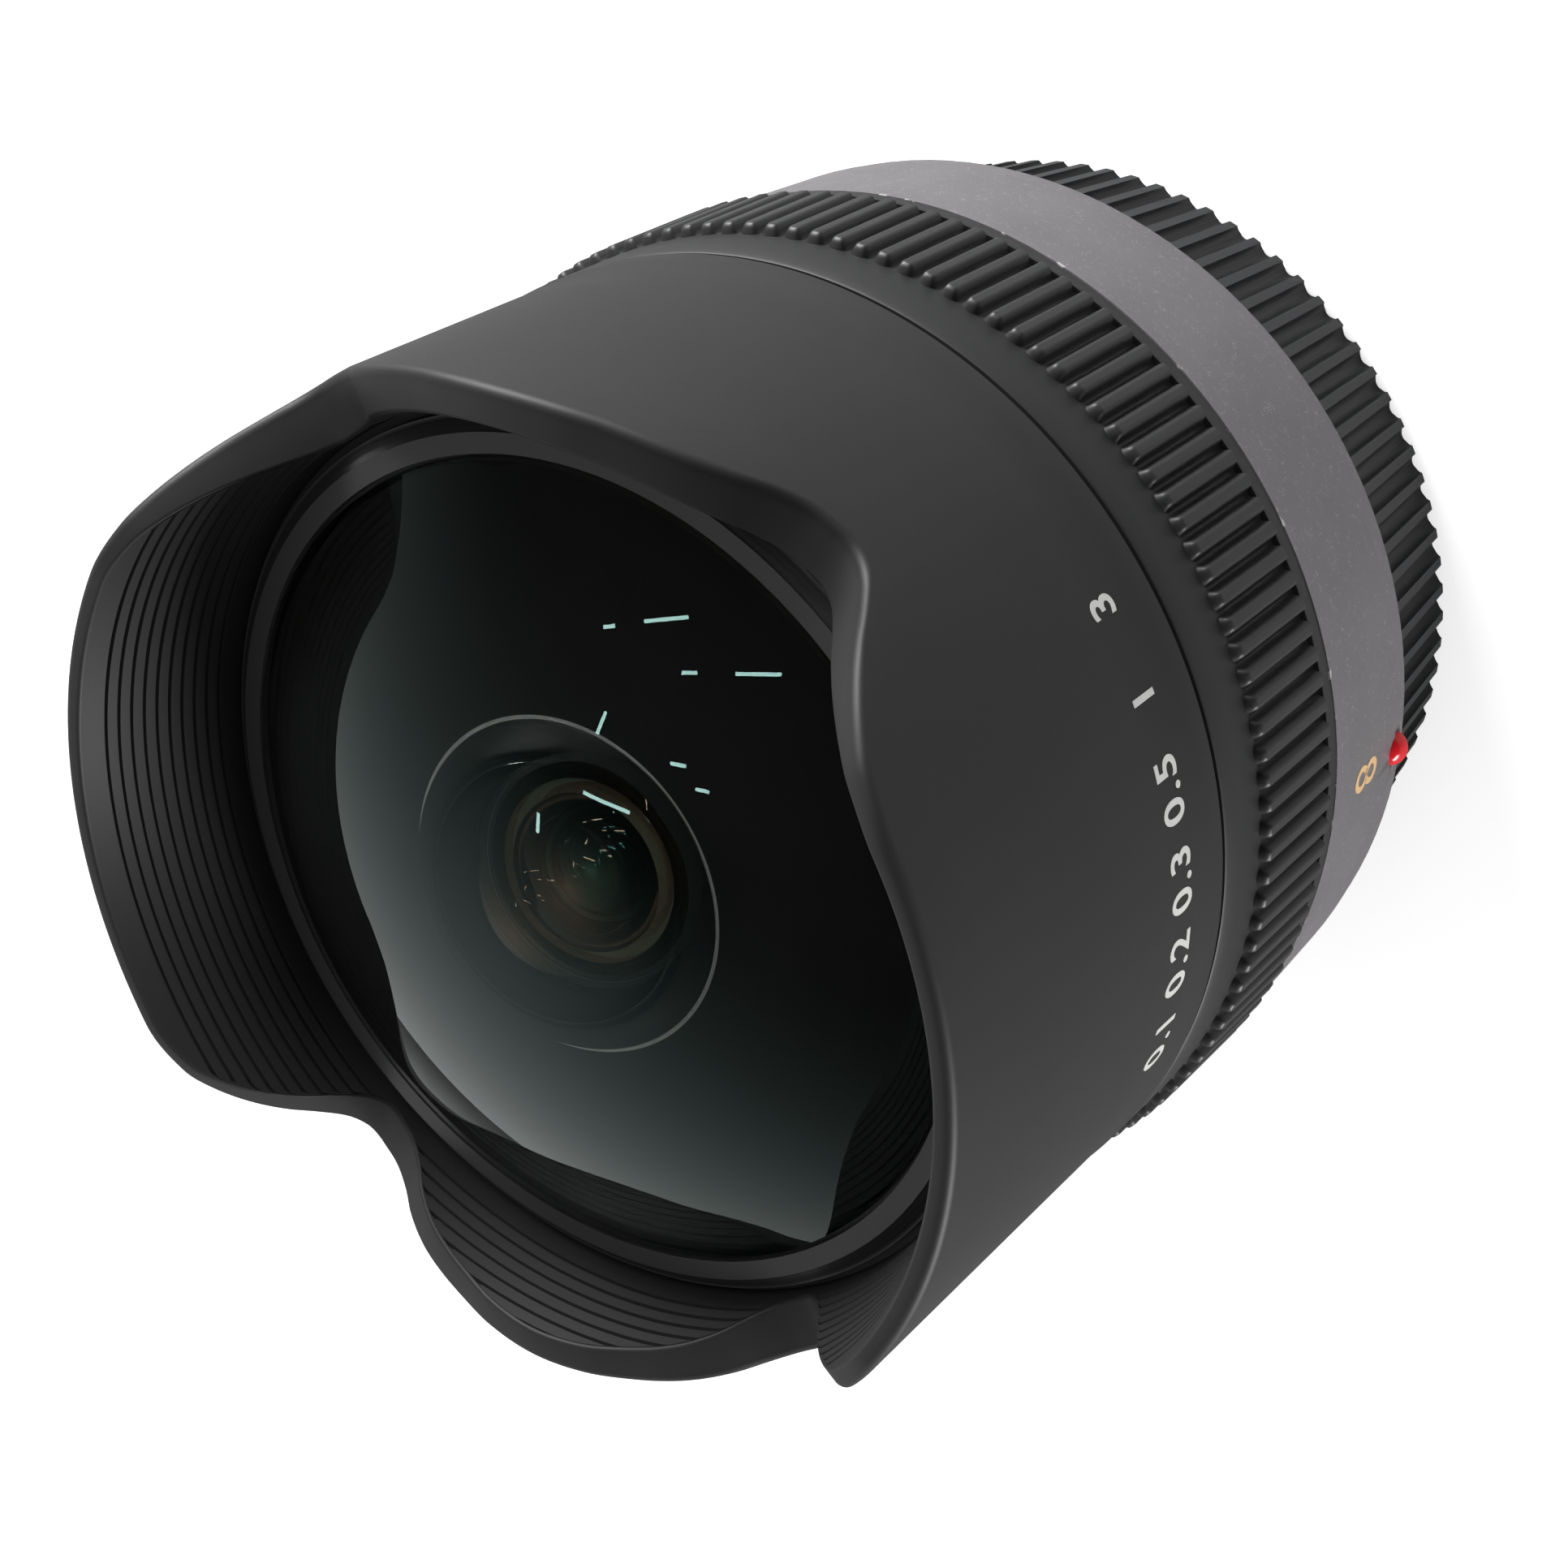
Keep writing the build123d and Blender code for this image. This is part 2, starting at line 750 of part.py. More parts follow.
def focus_ring():
    """Grip ring: smooth front band, ribs, a fine slot and a smooth rear band."""
    rib_back = ring_back + ring_rear_band + rib_slot
    rib_front = rib_back + rib_length
    washer_step = washer_thickness + washer_gap - part_line
    washer_radius = barrel_radius + running_fit + washer_width
    strip_back = rib_back + strip_margin
    strip_front = strip_back + strip_length
    recess = ring_bore + strip_thickness + seat_fit
    outline = [
        (washer_radius + seat_fit, ring_back),
        (ring_rear_radius - ring_edge, ring_back),
        (ring_rear_radius, ring_back + ring_edge),
        (ring_rear_radius, ring_back + ring_rear_band),
        (ring_radius, ring_back + ring_rear_band),
        (ring_radius, ring_front - ring_edge),
        (ring_radius - ring_edge, ring_front),
        (washer_radius + seat_fit, ring_front),
        (washer_radius + seat_fit, ring_front - washer_step),
        (ring_bore, ring_front - washer_step),
        (ring_bore, strip_front),
        (recess, strip_front),
        (recess, strip_back),
        (ring_bore, strip_back),
        (ring_bore, ring_back + washer_step),
        (washer_radius + seat_fit, ring_back + washer_step),
    ]
    tip = ring_radius + rib_height
    root = ring_radius - rib_height
    with BuildSketch() as rib:
        with BuildLine():
            Polyline(
                (root, -rib_foot / 2),
                (ring_radius, -rib_foot / 2),
                (tip, -rib_top / 2),
                (tip, rib_top / 2),
                (ring_radius, rib_foot / 2),
                (root, rib_foot / 2),
                close=True,
            )
        make_face()
    with BuildPart() as ring:
        with BuildSketch(Plane.XZ):
            with BuildLine():
                Polyline(*outline, close=True)
            make_face()
        revolve(axis=Axis.Z)
        with BuildSketch(Plane.XY.offset(rib_back)):
            with PolarLocations(0, rib_count):
                add(rib.sketch)
        extrude(amount=rib_length)
        with BuildSketch(Plane.XZ):
            with BuildLine():
                Polyline(
                    (ring_radius, rib_front),
                    (tip + overrun, rib_front),
                    (tip + overrun, rib_front - rib_nose),
                    (tip, rib_front - rib_nose),
                    close=True,
                )
            make_face()
        revolve(axis=Axis.Z, mode=Mode.SUBTRACT)
    keep(ring, "focus_ring")


def ring_washers():
    """Slip washers between the focus ring and the barrels on either side."""
    inner = barrel_radius + running_fit
    outer = inner + washer_width
    keep(turn(ring_outline(inner, outer, band_front, band_front + washer_thickness)), "washer_back")
    keep(turn(ring_outline(inner, outer, hood_back - washer_thickness, hood_back)), "washer_front")


def encoder_strip():
    """Windowed strip in the focus ring's bore, read by the sensor in the chassis."""
    back = ring_back + ring_rear_band + rib_slot + strip_margin + thin_gap
    front = back + strip_length - 2 * thin_gap
    with BuildPart() as strip:
        with BuildSketch(Plane.XY.offset(back)):
            Circle(ring_bore + strip_thickness)
            Circle(ring_bore + seat_fit, mode=Mode.SUBTRACT)
        extrude(amount=front - back)
        with BuildSketch(Plane.XY.offset(back + strip_margin)):
            with PolarLocations(ring_bore, strip_windows):
                Rectangle(2 * overrun, strip_window)
        extrude(amount=front - back - 2 * strip_margin, mode=Mode.SUBTRACT)
    keep(strip, "encoder_strip")


def chassis():
    """Main tube with the rear bulkhead, the neck that the hood screws to, and bosses."""
    outline = [
        (rear_cell_radius + seat_fit, bulkhead_back),
        (barrel_radius, bulkhead_back),
        (barrel_radius, hood_back),
        (neck_radius, hood_back),
        (neck_radius, neck_front),
        (neck_radius - neck_wall, neck_front),
        (neck_radius - neck_wall, hood_back),
        (chassis_inner_radius, hood_back - neck_wall),
        (chassis_inner_radius, bulkhead_front),
        (rear_cell_radius + seat_fit, bulkhead_front),
    ]
    window_width = sensor_width + 2 * sensor_window_gap
    window_length = sensor_length + 2 * sensor_window_gap
    window_middle = ring_back + ring_rear_band + rib_slot + strip_margin + strip_length / 2
    with BuildPart() as tube:
        with BuildSketch(Plane.XZ):
            with BuildLine():
                Polyline(*outline, close=True)
            make_face()
        revolve(axis=Axis.Z)
        with BuildSketch(Plane.XY.offset(plate_front)):
            with PolarLocations(boss_place, barrel_screw_count, barrel_screw_start):
                Circle(boss_radius)
        extrude(amount=bulkhead_back - plate_front)
        with BuildSketch(Plane.XY.offset(plate_front)):
            with PolarLocations(boss_place, barrel_screw_count, barrel_screw_start):
                Circle(barrel_screw_radius + seat_fit)
        extrude(amount=barrel_screw_length - back_plate, mode=Mode.SUBTRACT)
        with BuildSketch(Plane.XY.offset(bulkhead_back)):
            with Locations(polar(rod_place, main_rod_angle), polar(rod_place, side_rod_angle)):
                Circle(rod_radius + seat_fit)
            with PolarLocations(cable_place, 1, pinion_angle):
                Rectangle(cable_thickness + cable_slot_gap, cable_width + cable_slot_gap)
        extrude(amount=bulkhead, mode=Mode.SUBTRACT)
        with BuildSketch(Plane.XY.offset(window_middle - window_length / 2)):
            with PolarLocations(barrel_radius, 1, sensor_angle):
                Rectangle(2 * (barrel_radius - chassis_inner_radius) + overrun, window_width)
        extrude(amount=window_length, mode=Mode.SUBTRACT)
    keep(tube, "chassis_tube")


def ring_sensor():
    middle = ring_back + ring_rear_band + rib_slot + strip_margin + strip_length / 2
    with BuildPart() as sensor:
        with BuildSketch(Plane.XY.offset(middle - sensor_length / 2)):
            with PolarLocations((barrel_radius + chassis_inner_radius) / 2, 1, sensor_angle):
                Rectangle(barrel_radius - chassis_inner_radius, sensor_width)
            Circle(barrel_radius - thin_gap, mode=Mode.INTERSECT)
        extrude(amount=sensor_length)
    keep(sensor, "ring_sensor")


def silver_barrel():
    """Silver band with its back plate, lip and the hole of the index dot."""
    lip_front = band_back + band_lip
    slope = (band_front_radius - band_back_radius) / band_length
    lip_radius = band_back_radius + slope * band_lip
    outline = [
        (back_plate_bore, band_back),
        (band_back_radius - band_edge, band_back),
        (band_back_radius, band_back + band_edge),
        (lip_radius, lip_front - band_lip_step),
        (lip_radius + band_lip_step, lip_front),
        (band_front_radius, band_front),
        (barrel_radius + seat_fit, band_front),
        (barrel_radius + seat_fit, plate_front),
        (back_plate_bore, plate_front),
    ]
    with BuildPart() as band:
        with BuildSketch(Plane.XZ):
            with BuildLine():
                Polyline(*outline, close=True)
            make_face()
        revolve(axis=Axis.Z)
        with BuildSketch(Plane.XY.offset(band_back)):
            with PolarLocations(boss_place, barrel_screw_count, barrel_screw_start):
                Circle(barrel_screw_radius + seat_fit)
        extrude(amount=back_plate, mode=Mode.SUBTRACT)
        with BuildSketch(Plane.XY.offset(band_back)):
            with PolarLocations(boss_place, barrel_screw_count, barrel_screw_start):
                Circle(barrel_screw_head + seat_fit)
        extrude(amount=barrel_screw_head_height, mode=Mode.SUBTRACT)
        with BuildSketch(Plane.XY.offset(band_back)):
            with PolarLocations(mount_screw_place, mount_screw_count, mount_screw_start):
                Circle(mount_screw_radius + seat_fit)
        extrude(amount=back_plate, mode=Mode.SUBTRACT)
        with BuildSketch(Plane.XZ.offset(-band_back_radius - overrun)):
            with Locations((0, band_back + dot_place)):
                Circle(dot_radius + seat_fit)
        extrude(amount=dot_depth + overrun, mode=Mode.SUBTRACT)
    keep(band, "silver_barrel")


def index_dot():
    """Red pin with a domed head, pressed into the band at its back edge."""
    dome = (dot_radius**2 + dot_proud**2) / (2 * dot_proud)
    foot = seat_fit - dot_depth
    with BuildPart() as dot:
        with BuildSketch(Plane.XY):
            with BuildLine():
                Polyline((0, dot_proud), (0, foot), (dot_radius, foot), (dot_radius, 0))
                RadiusArc((dot_radius, 0), (0, dot_proud), -dome)
            make_face()
        revolve(axis=Axis.Y)
    dot.part.position = (0, band_back_radius, band_back + dot_place)
    keep(dot, "index_dot")


def barrel_screws():
    """Screws through the silver barrel's back plate into the chassis, under the mount."""
    screws(
        "barrel_screws", boss_place, barrel_screw_count, barrel_screw_start, band_back + seat_fit,
        barrel_screw_head, barrel_screw_head_height - seat_fit, barrel_screw_radius,
        barrel_screw_length - barrel_screw_head_height - seat_fit,
    )


def main_board():
    """Ring-shaped circuit board with its chips on the back face."""
    with BuildPart() as board:
        with BuildSketch(Plane.XY.offset(board_back)):
            Circle(board_outer_radius)
            Circle(board_inner_radius, mode=Mode.SUBTRACT)
            with PolarLocations(boss_place, barrel_screw_count, barrel_screw_start):
                Circle(boss_radius + part_line, mode=Mode.SUBTRACT)
        extrude(amount=board_thickness)
        with BuildSketch(Plane.XY.offset(board_back - chip_height)):
            for chip in range(chip_count):
                with PolarLocations(chip_place, 1, chip_start + chip * chip_pitch):
                    Rectangle(chip_depth, chip_width)
        extrude(amount=chip_height)
        with BuildSketch(Plane.XY.offset(board_front)):
            for chip in range(chip_count):
                with PolarLocations(chip_place, 1, chip_start + chip * chip_pitch + chip_pitch / 2):
                    Circle(boss_radius / 2)
        extrude(amount=board_standoff)
    keep(board, "main_board")


def rear_cell():
    """Short tube for elements 9 and 10, screwed into the bulkhead."""
    edge_10 = z10_back - sag(element_10_back_curve, element_10_clear)
    face_9 = z9 - sag(element_9_curve, element_9_clear)
    bore_10 = element_10_clear + glass_rim + seat_fit
    bore_9 = element_9_clear + glass_rim + seat_fit
    edge_9 = z9_back - sag(element_9_back_curve, element_9_clear)
    outline = [
        (element_10_clear, edge_10 - rear_cell_seat),
        (rear_cell_radius, edge_10 - rear_cell_seat),
        (rear_cell_radius, bulkhead_front),
        (rear_cell_flange, bulkhead_front),
        (rear_cell_flange, bulkhead_front + rear_cell_flange_thickness),
        (rear_cell_radius, bulkhead_front + rear_cell_flange_thickness),
        (rear_cell_radius, rear_cell_front),
        (bore_9 + rear_cell_ring, rear_cell_front),
        (bore_9 + rear_cell_ring, face_9),
        (bore_9, face_9),
        (bore_9, edge_9),
        (bore_10, edge_9),
        (bore_10, edge_10),
        (element_10_clear, edge_10),
    ]
    keep(turn(outline), "rear_cell")
    ring = ring_outline(element_9_clear, bore_9 + rear_cell_ring - seat_fit, face_9, rear_cell_front)
    keep(turn(ring), "rear_cell_ring")


def guide_rods():
    back = bulkhead_back + seat_fit
    front = iris_back + iris_base_thickness - thin_gap
    for name, angle in (("main_rod", main_rod_angle), ("side_rod", side_rod_angle)):
        with BuildPart() as rod:
            with BuildSketch(Plane.XY.offset(back)):
                with Locations(polar(rod_place, angle)):
                    Circle(rod_radius)
            extrude(amount=front - back)
        keep(rod, name)


def focus_motor():
    """Stepper motor on the bulkhead with a bore for the lead screw."""
    with BuildPart() as motor:
        with BuildSketch(Plane.XY.offset(bulkhead_front)):
            with Locations(polar(screw_place, screw_angle)):
                Circle(motor_radius)
        extrude(amount=motor_length - motor_collar_height)
        with BuildSketch(Plane.XY.offset(bulkhead_front + motor_length - motor_collar_height)):
            with Locations(polar(screw_place, screw_angle)):
                Circle(motor_collar)
        extrude(amount=motor_collar_height)
        with BuildSketch(Plane.XY.offset(bulkhead_front + shaft_set)):
            with Locations(polar(screw_place, screw_angle)):
                Circle(screw_radius + running_fit)
        extrude(amount=motor_length, mode=Mode.SUBTRACT)
    keep(motor, "focus_motor")


def lead_screw():
    back = bulkhead_front + shaft_set + thin_gap
    front = iris_back + iris_base_thickness - 2 * thin_gap
    with BuildPart() as screw:
        with BuildSketch(Plane.XY.offset(back)):
            with Locations(polar(screw_place, screw_angle)):
                Circle(screw_radius)
        extrude(amount=front - back)
    keep(screw, "lead_screw")


def focus_carrier():
    """Holder of the cemented pair, with a sleeve, a fork and an arm for the nut."""
    edge_8 = z8_back - sag(element_8_back_curve, doublet_clear)
    bore = doublet_clear + glass_rim + seat_fit
    outer = bore + carrier_wall
    arm_back = carrier_front - arm_thickness
    with BuildPart() as carrier:
        with BuildSketch(Plane.XY.offset(carrier_back)):
            Circle(outer)
        extrude(amount=carrier_front - carrier_back)
        with BuildSketch(Plane.XY.offset(arm_back)):
            for angle, reach in (
                (main_rod_angle, rod_place),
                (side_rod_angle, rod_place + rod_radius + fork_wall),
                (screw_angle, screw_place),
            ):
                with PolarLocations(reach / 2, 1, angle):
                    Rectangle(reach, arm_width)
            with Locations(polar(screw_place, screw_angle)):
                Circle(nut_flange)
            with Locations(polar(rod_place, side_rod_angle)):
                Circle(rod_radius + fork_wall)
        extrude(amount=arm_thickness)
        with BuildSketch(Plane.XY.offset(carrier_front - sleeve_length)):
            with Locations(polar(rod_place, main_rod_angle)):
                Circle(rod_radius + sleeve_wall)
        extrude(amount=sleeve_length)
        with BuildSketch(Plane.XY.offset(carrier_front - sleeve_length)):
            with Locations(polar(rod_place, main_rod_angle)):
                Circle(rod_radius + running_fit)
            with Locations(polar(screw_place, screw_angle)):
                Circle(nut_radius + seat_fit)
            with PolarLocations(rod_place, 1, side_rod_angle):
                SlotOverall(4 * rod_radius, 2 * (rod_radius + running_fit))
        extrude(amount=sleeve_length, mode=Mode.SUBTRACT)
        with BuildSketch(Plane.XY.offset(edge_8)):
            Circle(bore)
        extrude(amount=carrier_front - edge_8, mode=Mode.SUBTRACT)
        with BuildSketch(Plane.XY.offset(carrier_back)):
            Circle(doublet_clear)
        extrude(amount=carrier_front - carrier_back, mode=Mode.SUBTRACT)
    keep(carrier, "focus_carrier")


def carrier_nut():
    back = carrier_front - arm_thickness - nut_length
    with BuildPart() as nut:
        with BuildSketch(Plane.XY.offset(back)):
            with Locations(polar(screw_place, screw_angle)):
                Circle(nut_flange)
        extrude(amount=nut_length)
        with BuildSketch(Plane.XY.offset(back)):
            with Locations(polar(screw_place, screw_angle)):
                Circle(nut_radius)
        extrude(amount=nut_length + arm_thickness)
        with BuildSketch(Plane.XY.offset(back)):
            with Locations(polar(screw_place, screw_angle)):
                Circle(screw_radius + running_fit)
        extrude(amount=nut_length + arm_thickness, mode=Mode.SUBTRACT)
    keep(nut, "carrier_nut")


def iris_base():
    """Rear plate of the iris with the pivots, three posts and the boss of element 6."""
    bore = element_6_clear + glass_rim + seat_fit
    boss = bore + iris_boss_wall
    face_6 = z6 - sag(element_6_curve, element_6_clear)
    edge_6 = z6_back - sag(element_6_back_curve, element_6_clear)
    with BuildPart() as base:
        with BuildSketch(Plane.XY.offset(iris_back)):
            Circle(iris_plate_radius)
        extrude(amount=iris_base_thickness)
        with BuildSketch(Plane.XY.offset(edge_6 - carrier_seat)):
            Circle(boss)
        extrude(amount=iris_back - edge_6 + carrier_seat)
        with BuildSketch(Plane.XY.offset(iris_back + iris_base_thickness)):
            with PolarLocations(post_place, post_count, post_start):
                Circle(post_radius)
        extrude(amount=cover_back - iris_back - iris_base_thickness)
        with BuildSketch(Plane.XY.offset(iris_back)):
            with PolarLocations(blade_pivot_radius, blade_count):
                Circle(blade_pin_radius + running_fit)
            with Locations(polar(pinion_place, pinion_angle)):
                Circle(pinion_shaft + running_fit)
            with Locations(polar(rod_place, main_rod_angle), polar(rod_place, side_rod_angle)):
                Circle(rod_radius + seat_fit)
            with Locations(polar(screw_place, screw_angle)):
                Circle(screw_radius + running_fit)
            with PolarLocations(post_place, post_count, post_start):
                Circle(iris_screw_radius + seat_fit)
        extrude(amount=cover_back - iris_back, mode=Mode.SUBTRACT)
        with BuildSketch(Plane.XY.offset(edge_6 - carrier_seat)):
            Circle(bore)
        extrude(amount=face_6 - edge_6 + carrier_seat, mode=Mode.SUBTRACT)
        with BuildSketch(Plane.XY.offset(face_6)):
            Circle(element_6_clear)
        extrude(amount=iris_back - face_6, mode=Mode.SUBTRACT)
        with BuildSketch(Plane.XY.offset(iris_back)):
            Circle(iris_opening)
        extrude(amount=iris_base_thickness, mode=Mode.SUBTRACT)
    keep(base, "iris_base")


def iris_cover():
    """Front plate of the iris, with the tube that the iris ring turns on."""
    tube = iris_opening + iris_tube_wall
    with BuildPart() as cover:
        with BuildSketch(Plane.XY.offset(cover_back)):
            Circle(iris_plate_radius)
        extrude(amount=iris_cover_thickness)
        with BuildSketch(Plane.XY.offset(iris_ring_back)):
            Circle(tube)
        extrude(amount=cover_back - iris_ring_back)
        with BuildSketch(Plane.XY.offset(iris_ring_back)):
            Circle(iris_opening)
            with Locations(polar(pinion_place, pinion_angle)):
                Circle(pinion_shaft + running_fit)
            with PolarLocations(post_place, post_count, post_start):
                Circle(iris_screw_radius + seat_fit)
        extrude(amount=cell_back - iris_ring_back, mode=Mode.SUBTRACT)
    keep(cover, "iris_cover")


def cam_path():
    """Path of a blade's cam pin seen from the turning iris ring."""
    pivot = Vector(polar(blade_pivot_radius, 0, 0))
    start = Vector(polar(blade_pivot_radius, blade_cam_angle, 0))
    path = []
    for step in range(-1, blade_count + 2):
        share = step / blade_count
        pin = pivot + (start - pivot).rotate(Axis.Z, blade_turn * share)
        path.append(pin.rotate(Axis.Z, -iris_ring_turn * share))
    return path


def tooth(radius):
    """Face of one straight-sided gear tooth on a pitch circle, pointing along +X."""
    half_root = pi * gear_module * tooth_root_share / 2
    half_tip = pi * gear_module * tooth_tip_share / 2
    with BuildSketch() as face:
        with BuildLine():
            Polyline(
                (radius - 2 * tooth_root, -half_root),
                (radius - tooth_root, -half_root),
                (radius + tooth_rise, -half_tip),
                (radius + tooth_rise, half_tip),
                (radius - tooth_root, half_root),
                (radius - 2 * tooth_root, half_root),
                close=True,
            )
        make_face()
    return face.sketch


def iris_ring():
    """Cam ring: a slot for each blade and a toothed sector for the pinion."""
    tube = iris_opening + iris_tube_wall + running_fit
    path = cam_path()
    with BuildSketch() as slot:
        with BuildLine():
            Spline(*path)
        trace(line_width=2 * (blade_pin_radius + running_fit))
    sector = tooth(gear_radius)
    pitch_angle = 360 / gear_teeth
    middle = round((pinion_angle - iris_ring_turn / 2) / pitch_angle)
    first = (middle - sector_teeth // 2) * pitch_angle
    with BuildPart() as ring:
        with BuildSketch(Plane.XY.offset(iris_ring_back)):
            Circle(gear_radius - tooth_root)
            with PolarLocations(0, sector_teeth, first, sector_teeth * pitch_angle):
                add(sector)
            with PolarLocations(0, blade_count):
                add(slot.sketch, mode=Mode.SUBTRACT)
            Circle(tube, mode=Mode.SUBTRACT)
        extrude(amount=iris_ring_thickness)
    keep(ring, "iris_ring")


def iris_pinion():
    """Pinion on the motor's shaft, with a tooth gap facing the optical axis."""
    back = iris_back - shaft_set - iris_motor_length / 2
    front = cover_back + iris_cover_thickness / 2
    wheel = tooth(pinion_radius)
    half_pitch = 180 / pinion_teeth
    with BuildPart() as pinion:
        with BuildSketch(Plane.XY.offset(back)):
            with Locations(polar(pinion_place, pinion_angle)):
                Circle(pinion_shaft)
        extrude(amount=front - back)
        with BuildSketch(Plane(origin=polar(pinion_place, pinion_angle, iris_ring_back))):
            Circle(pinion_radius - tooth_root)
            with PolarLocations(0, pinion_teeth, half_pitch + pinion_angle):
                add(wheel)
        extrude(amount=iris_ring_thickness)
    keep(pinion, "iris_pinion")


def iris_motor():
    with BuildPart() as motor:
        with BuildSketch(Plane.XY.offset(iris_back - iris_motor_length)):
            with Locations(polar(pinion_place, pinion_angle)):
                Circle(iris_motor_radius)
        extrude(amount=iris_motor_length)
        with BuildSketch(Plane.XY.offset(iris_back - shaft_set - iris_motor_length / 2 - thin_gap)):
            with Locations(polar(pinion_place, pinion_angle)):
                Circle(pinion_shaft + running_fit)
        extrude(amount=iris_motor_length, mode=Mode.SUBTRACT)
    keep(motor, "iris_motor")


def iris_blades():
    """Seven blades, each at its own level, with a pivot pin behind and a cam pin in front."""
    half_angle = -blade_cam_angle / 2
    pin_spacing = 2 * blade_pivot_radius * sin(radians(half_angle))
    pin_middle = blade_pivot_radius * cos(radians(half_angle))
    band_middle = (blade_inner_radius + blade_outer_radius) / 2
    reach = blade_pivot_radius - band_middle
    far = 2 * blade_outer_radius
    for blade in range(blade_count):
        level = blades_back + blade * (blade_thickness + blade_gap)
        turned = polar(1, blade * 360 / blade_count, 0)
        pivot_back = iris_back + thin_gap
        cam_front = iris_ring_back + iris_ring_thickness
        with BuildPart() as piece:
            with BuildSketch(Plane(origin=(0, 0, level), x_dir=turned)):
                Circle(blade_outer_radius)
                Circle(blade_inner_radius, mode=Mode.SUBTRACT)
                with BuildLine():
                    Polyline(
                        (0, 0),
                        polar(far, blade_root_angle),
                        polar(far, (blade_root_angle + blade_tip_angle) / 2),
                        polar(far, blade_tip_angle),
                        close=True,
                    )
                make_face(mode=Mode.INTERSECT)
                with Locations((blade_pivot_radius - reach / 2, 0)):
                    SlotCenterToCenter(reach, 2 * blade_lobe)
                with PolarLocations(pin_middle, 1, -half_angle):
                    SlotCenterToCenter(pin_spacing, 2 * blade_lobe, rotation=90)
            extrude(amount=blade_thickness)
            with BuildSketch(Plane(origin=(0, 0, pivot_back), x_dir=turned)):
                with Locations((blade_pivot_radius, 0)):
                    Circle(blade_pin_radius)
            extrude(amount=level - pivot_back + blade_thickness)
            with BuildSketch(Plane(origin=(0, 0, level), x_dir=turned)):
                with PolarLocations(blade_pivot_radius, 1, blade_cam_angle):
                    Circle(blade_pin_radius)
            extrude(amount=cam_front - level)
        keep(piece, f"iris_blade_{blade + 1}")


def iris_screws():
    screws(
        "iris_screws", post_place, post_count, post_start, iris_back - iris_screw_head_height,
        iris_screw_head, iris_screw_head_height, iris_screw_radius,
        cell_back + cell_flange - iris_back - seat_fit,
    )


def flex_cable():
    """Flat cable from the circuit board through the bulkhead to the iris motor."""
    turn_height = iris_back - iris_motor_length / 2
    motor_side = pinion_place + iris_motor_radius + thin_gap
    inner = cable_place - cable_thickness / 2
    outer = cable_place + cable_thickness / 2
    with BuildPart() as cable:
        with BuildSketch(Plane.XZ):
            with BuildLine():
                Polyline(
                    (-inner, board_front),
                    (-outer, board_front),
                    (-outer, turn_height + cable_thickness),
                    (-motor_side, turn_height + cable_thickness),
                    (-motor_side, turn_height),
                    (-inner, turn_height),
                    close=True,
                )
            make_face()
        extrude(amount=cable_width / 2, both=True)
    keep(cable, "flex_cable")


def sector_face(inner, outer, angle):
    """Part of a flat ring, centred on +X."""
    half = angle / 2
    with BuildSketch() as face:
        Circle(outer)
        Circle(inner, mode=Mode.SUBTRACT)
        with BuildLine():
            Polyline((0, 0), polar(2 * outer, -half), (2 * outer, 0), polar(2 * outer, half), close=True)
        make_face(mode=Mode.INTERSECT)
    return face.sketch


def bayonet_mount():
    """Chrome flange and tube with three tabs, screw holes and the lock slot."""
    outline = [
        (tube_bore, -tube_length),
        (tube_radius, -tube_length),
        (tube_radius, 0),
        (flange_radius, 0),
        (flange_radius, flange_thickness),
        (tube_bore, flange_thickness),
    ]
    with BuildPart() as mount:
        with BuildSketch(Plane.XZ):
            with BuildLine():
                Polyline(*outline, close=True)
            make_face()
        revolve(axis=Axis.Z)
        for tab in range(tab_count):
            with BuildSketch(Plane.XY.offset(-tab_set - tab_thickness)):
                with PolarLocations(0, 1, tab_start + tab * 360 / tab_count):
                    add(sector_face(tube_radius - tube_wall / 2, tab_radius, tab_angle))
            extrude(amount=tab_thickness)
        with BuildSketch(Plane.XY):
            with PolarLocations(mount_screw_place, mount_screw_count, mount_screw_start):
                Circle(mount_screw_radius + seat_fit)
        extrude(amount=flange_thickness, mode=Mode.SUBTRACT)
        with BuildSketch(Plane.XY):
            with PolarLocations(mount_screw_place, mount_screw_count, mount_screw_start):
                Circle(mount_screw_head + seat_fit)
        extrude(amount=mount_screw_head_height + seat_fit, mode=Mode.SUBTRACT)
        with BuildSketch(Plane.XY):
            with PolarLocations(mount_screw_place, 1, lock_slot_angle):
                SlotOverall(lock_slot_length, lock_slot_width)
        extrude(amount=flange_thickness / 2, mode=Mode.SUBTRACT)
    keep(mount, "bayonet_mount")


def mount_screws():
    screws(
        "mount_screws", mount_screw_place, mount_screw_count, mount_screw_start, seat_fit,
        mount_screw_head, mount_screw_head_height, mount_screw_radius,
        flange_thickness + back_plate - mount_screw_head_height - 2 * seat_fit,
    )


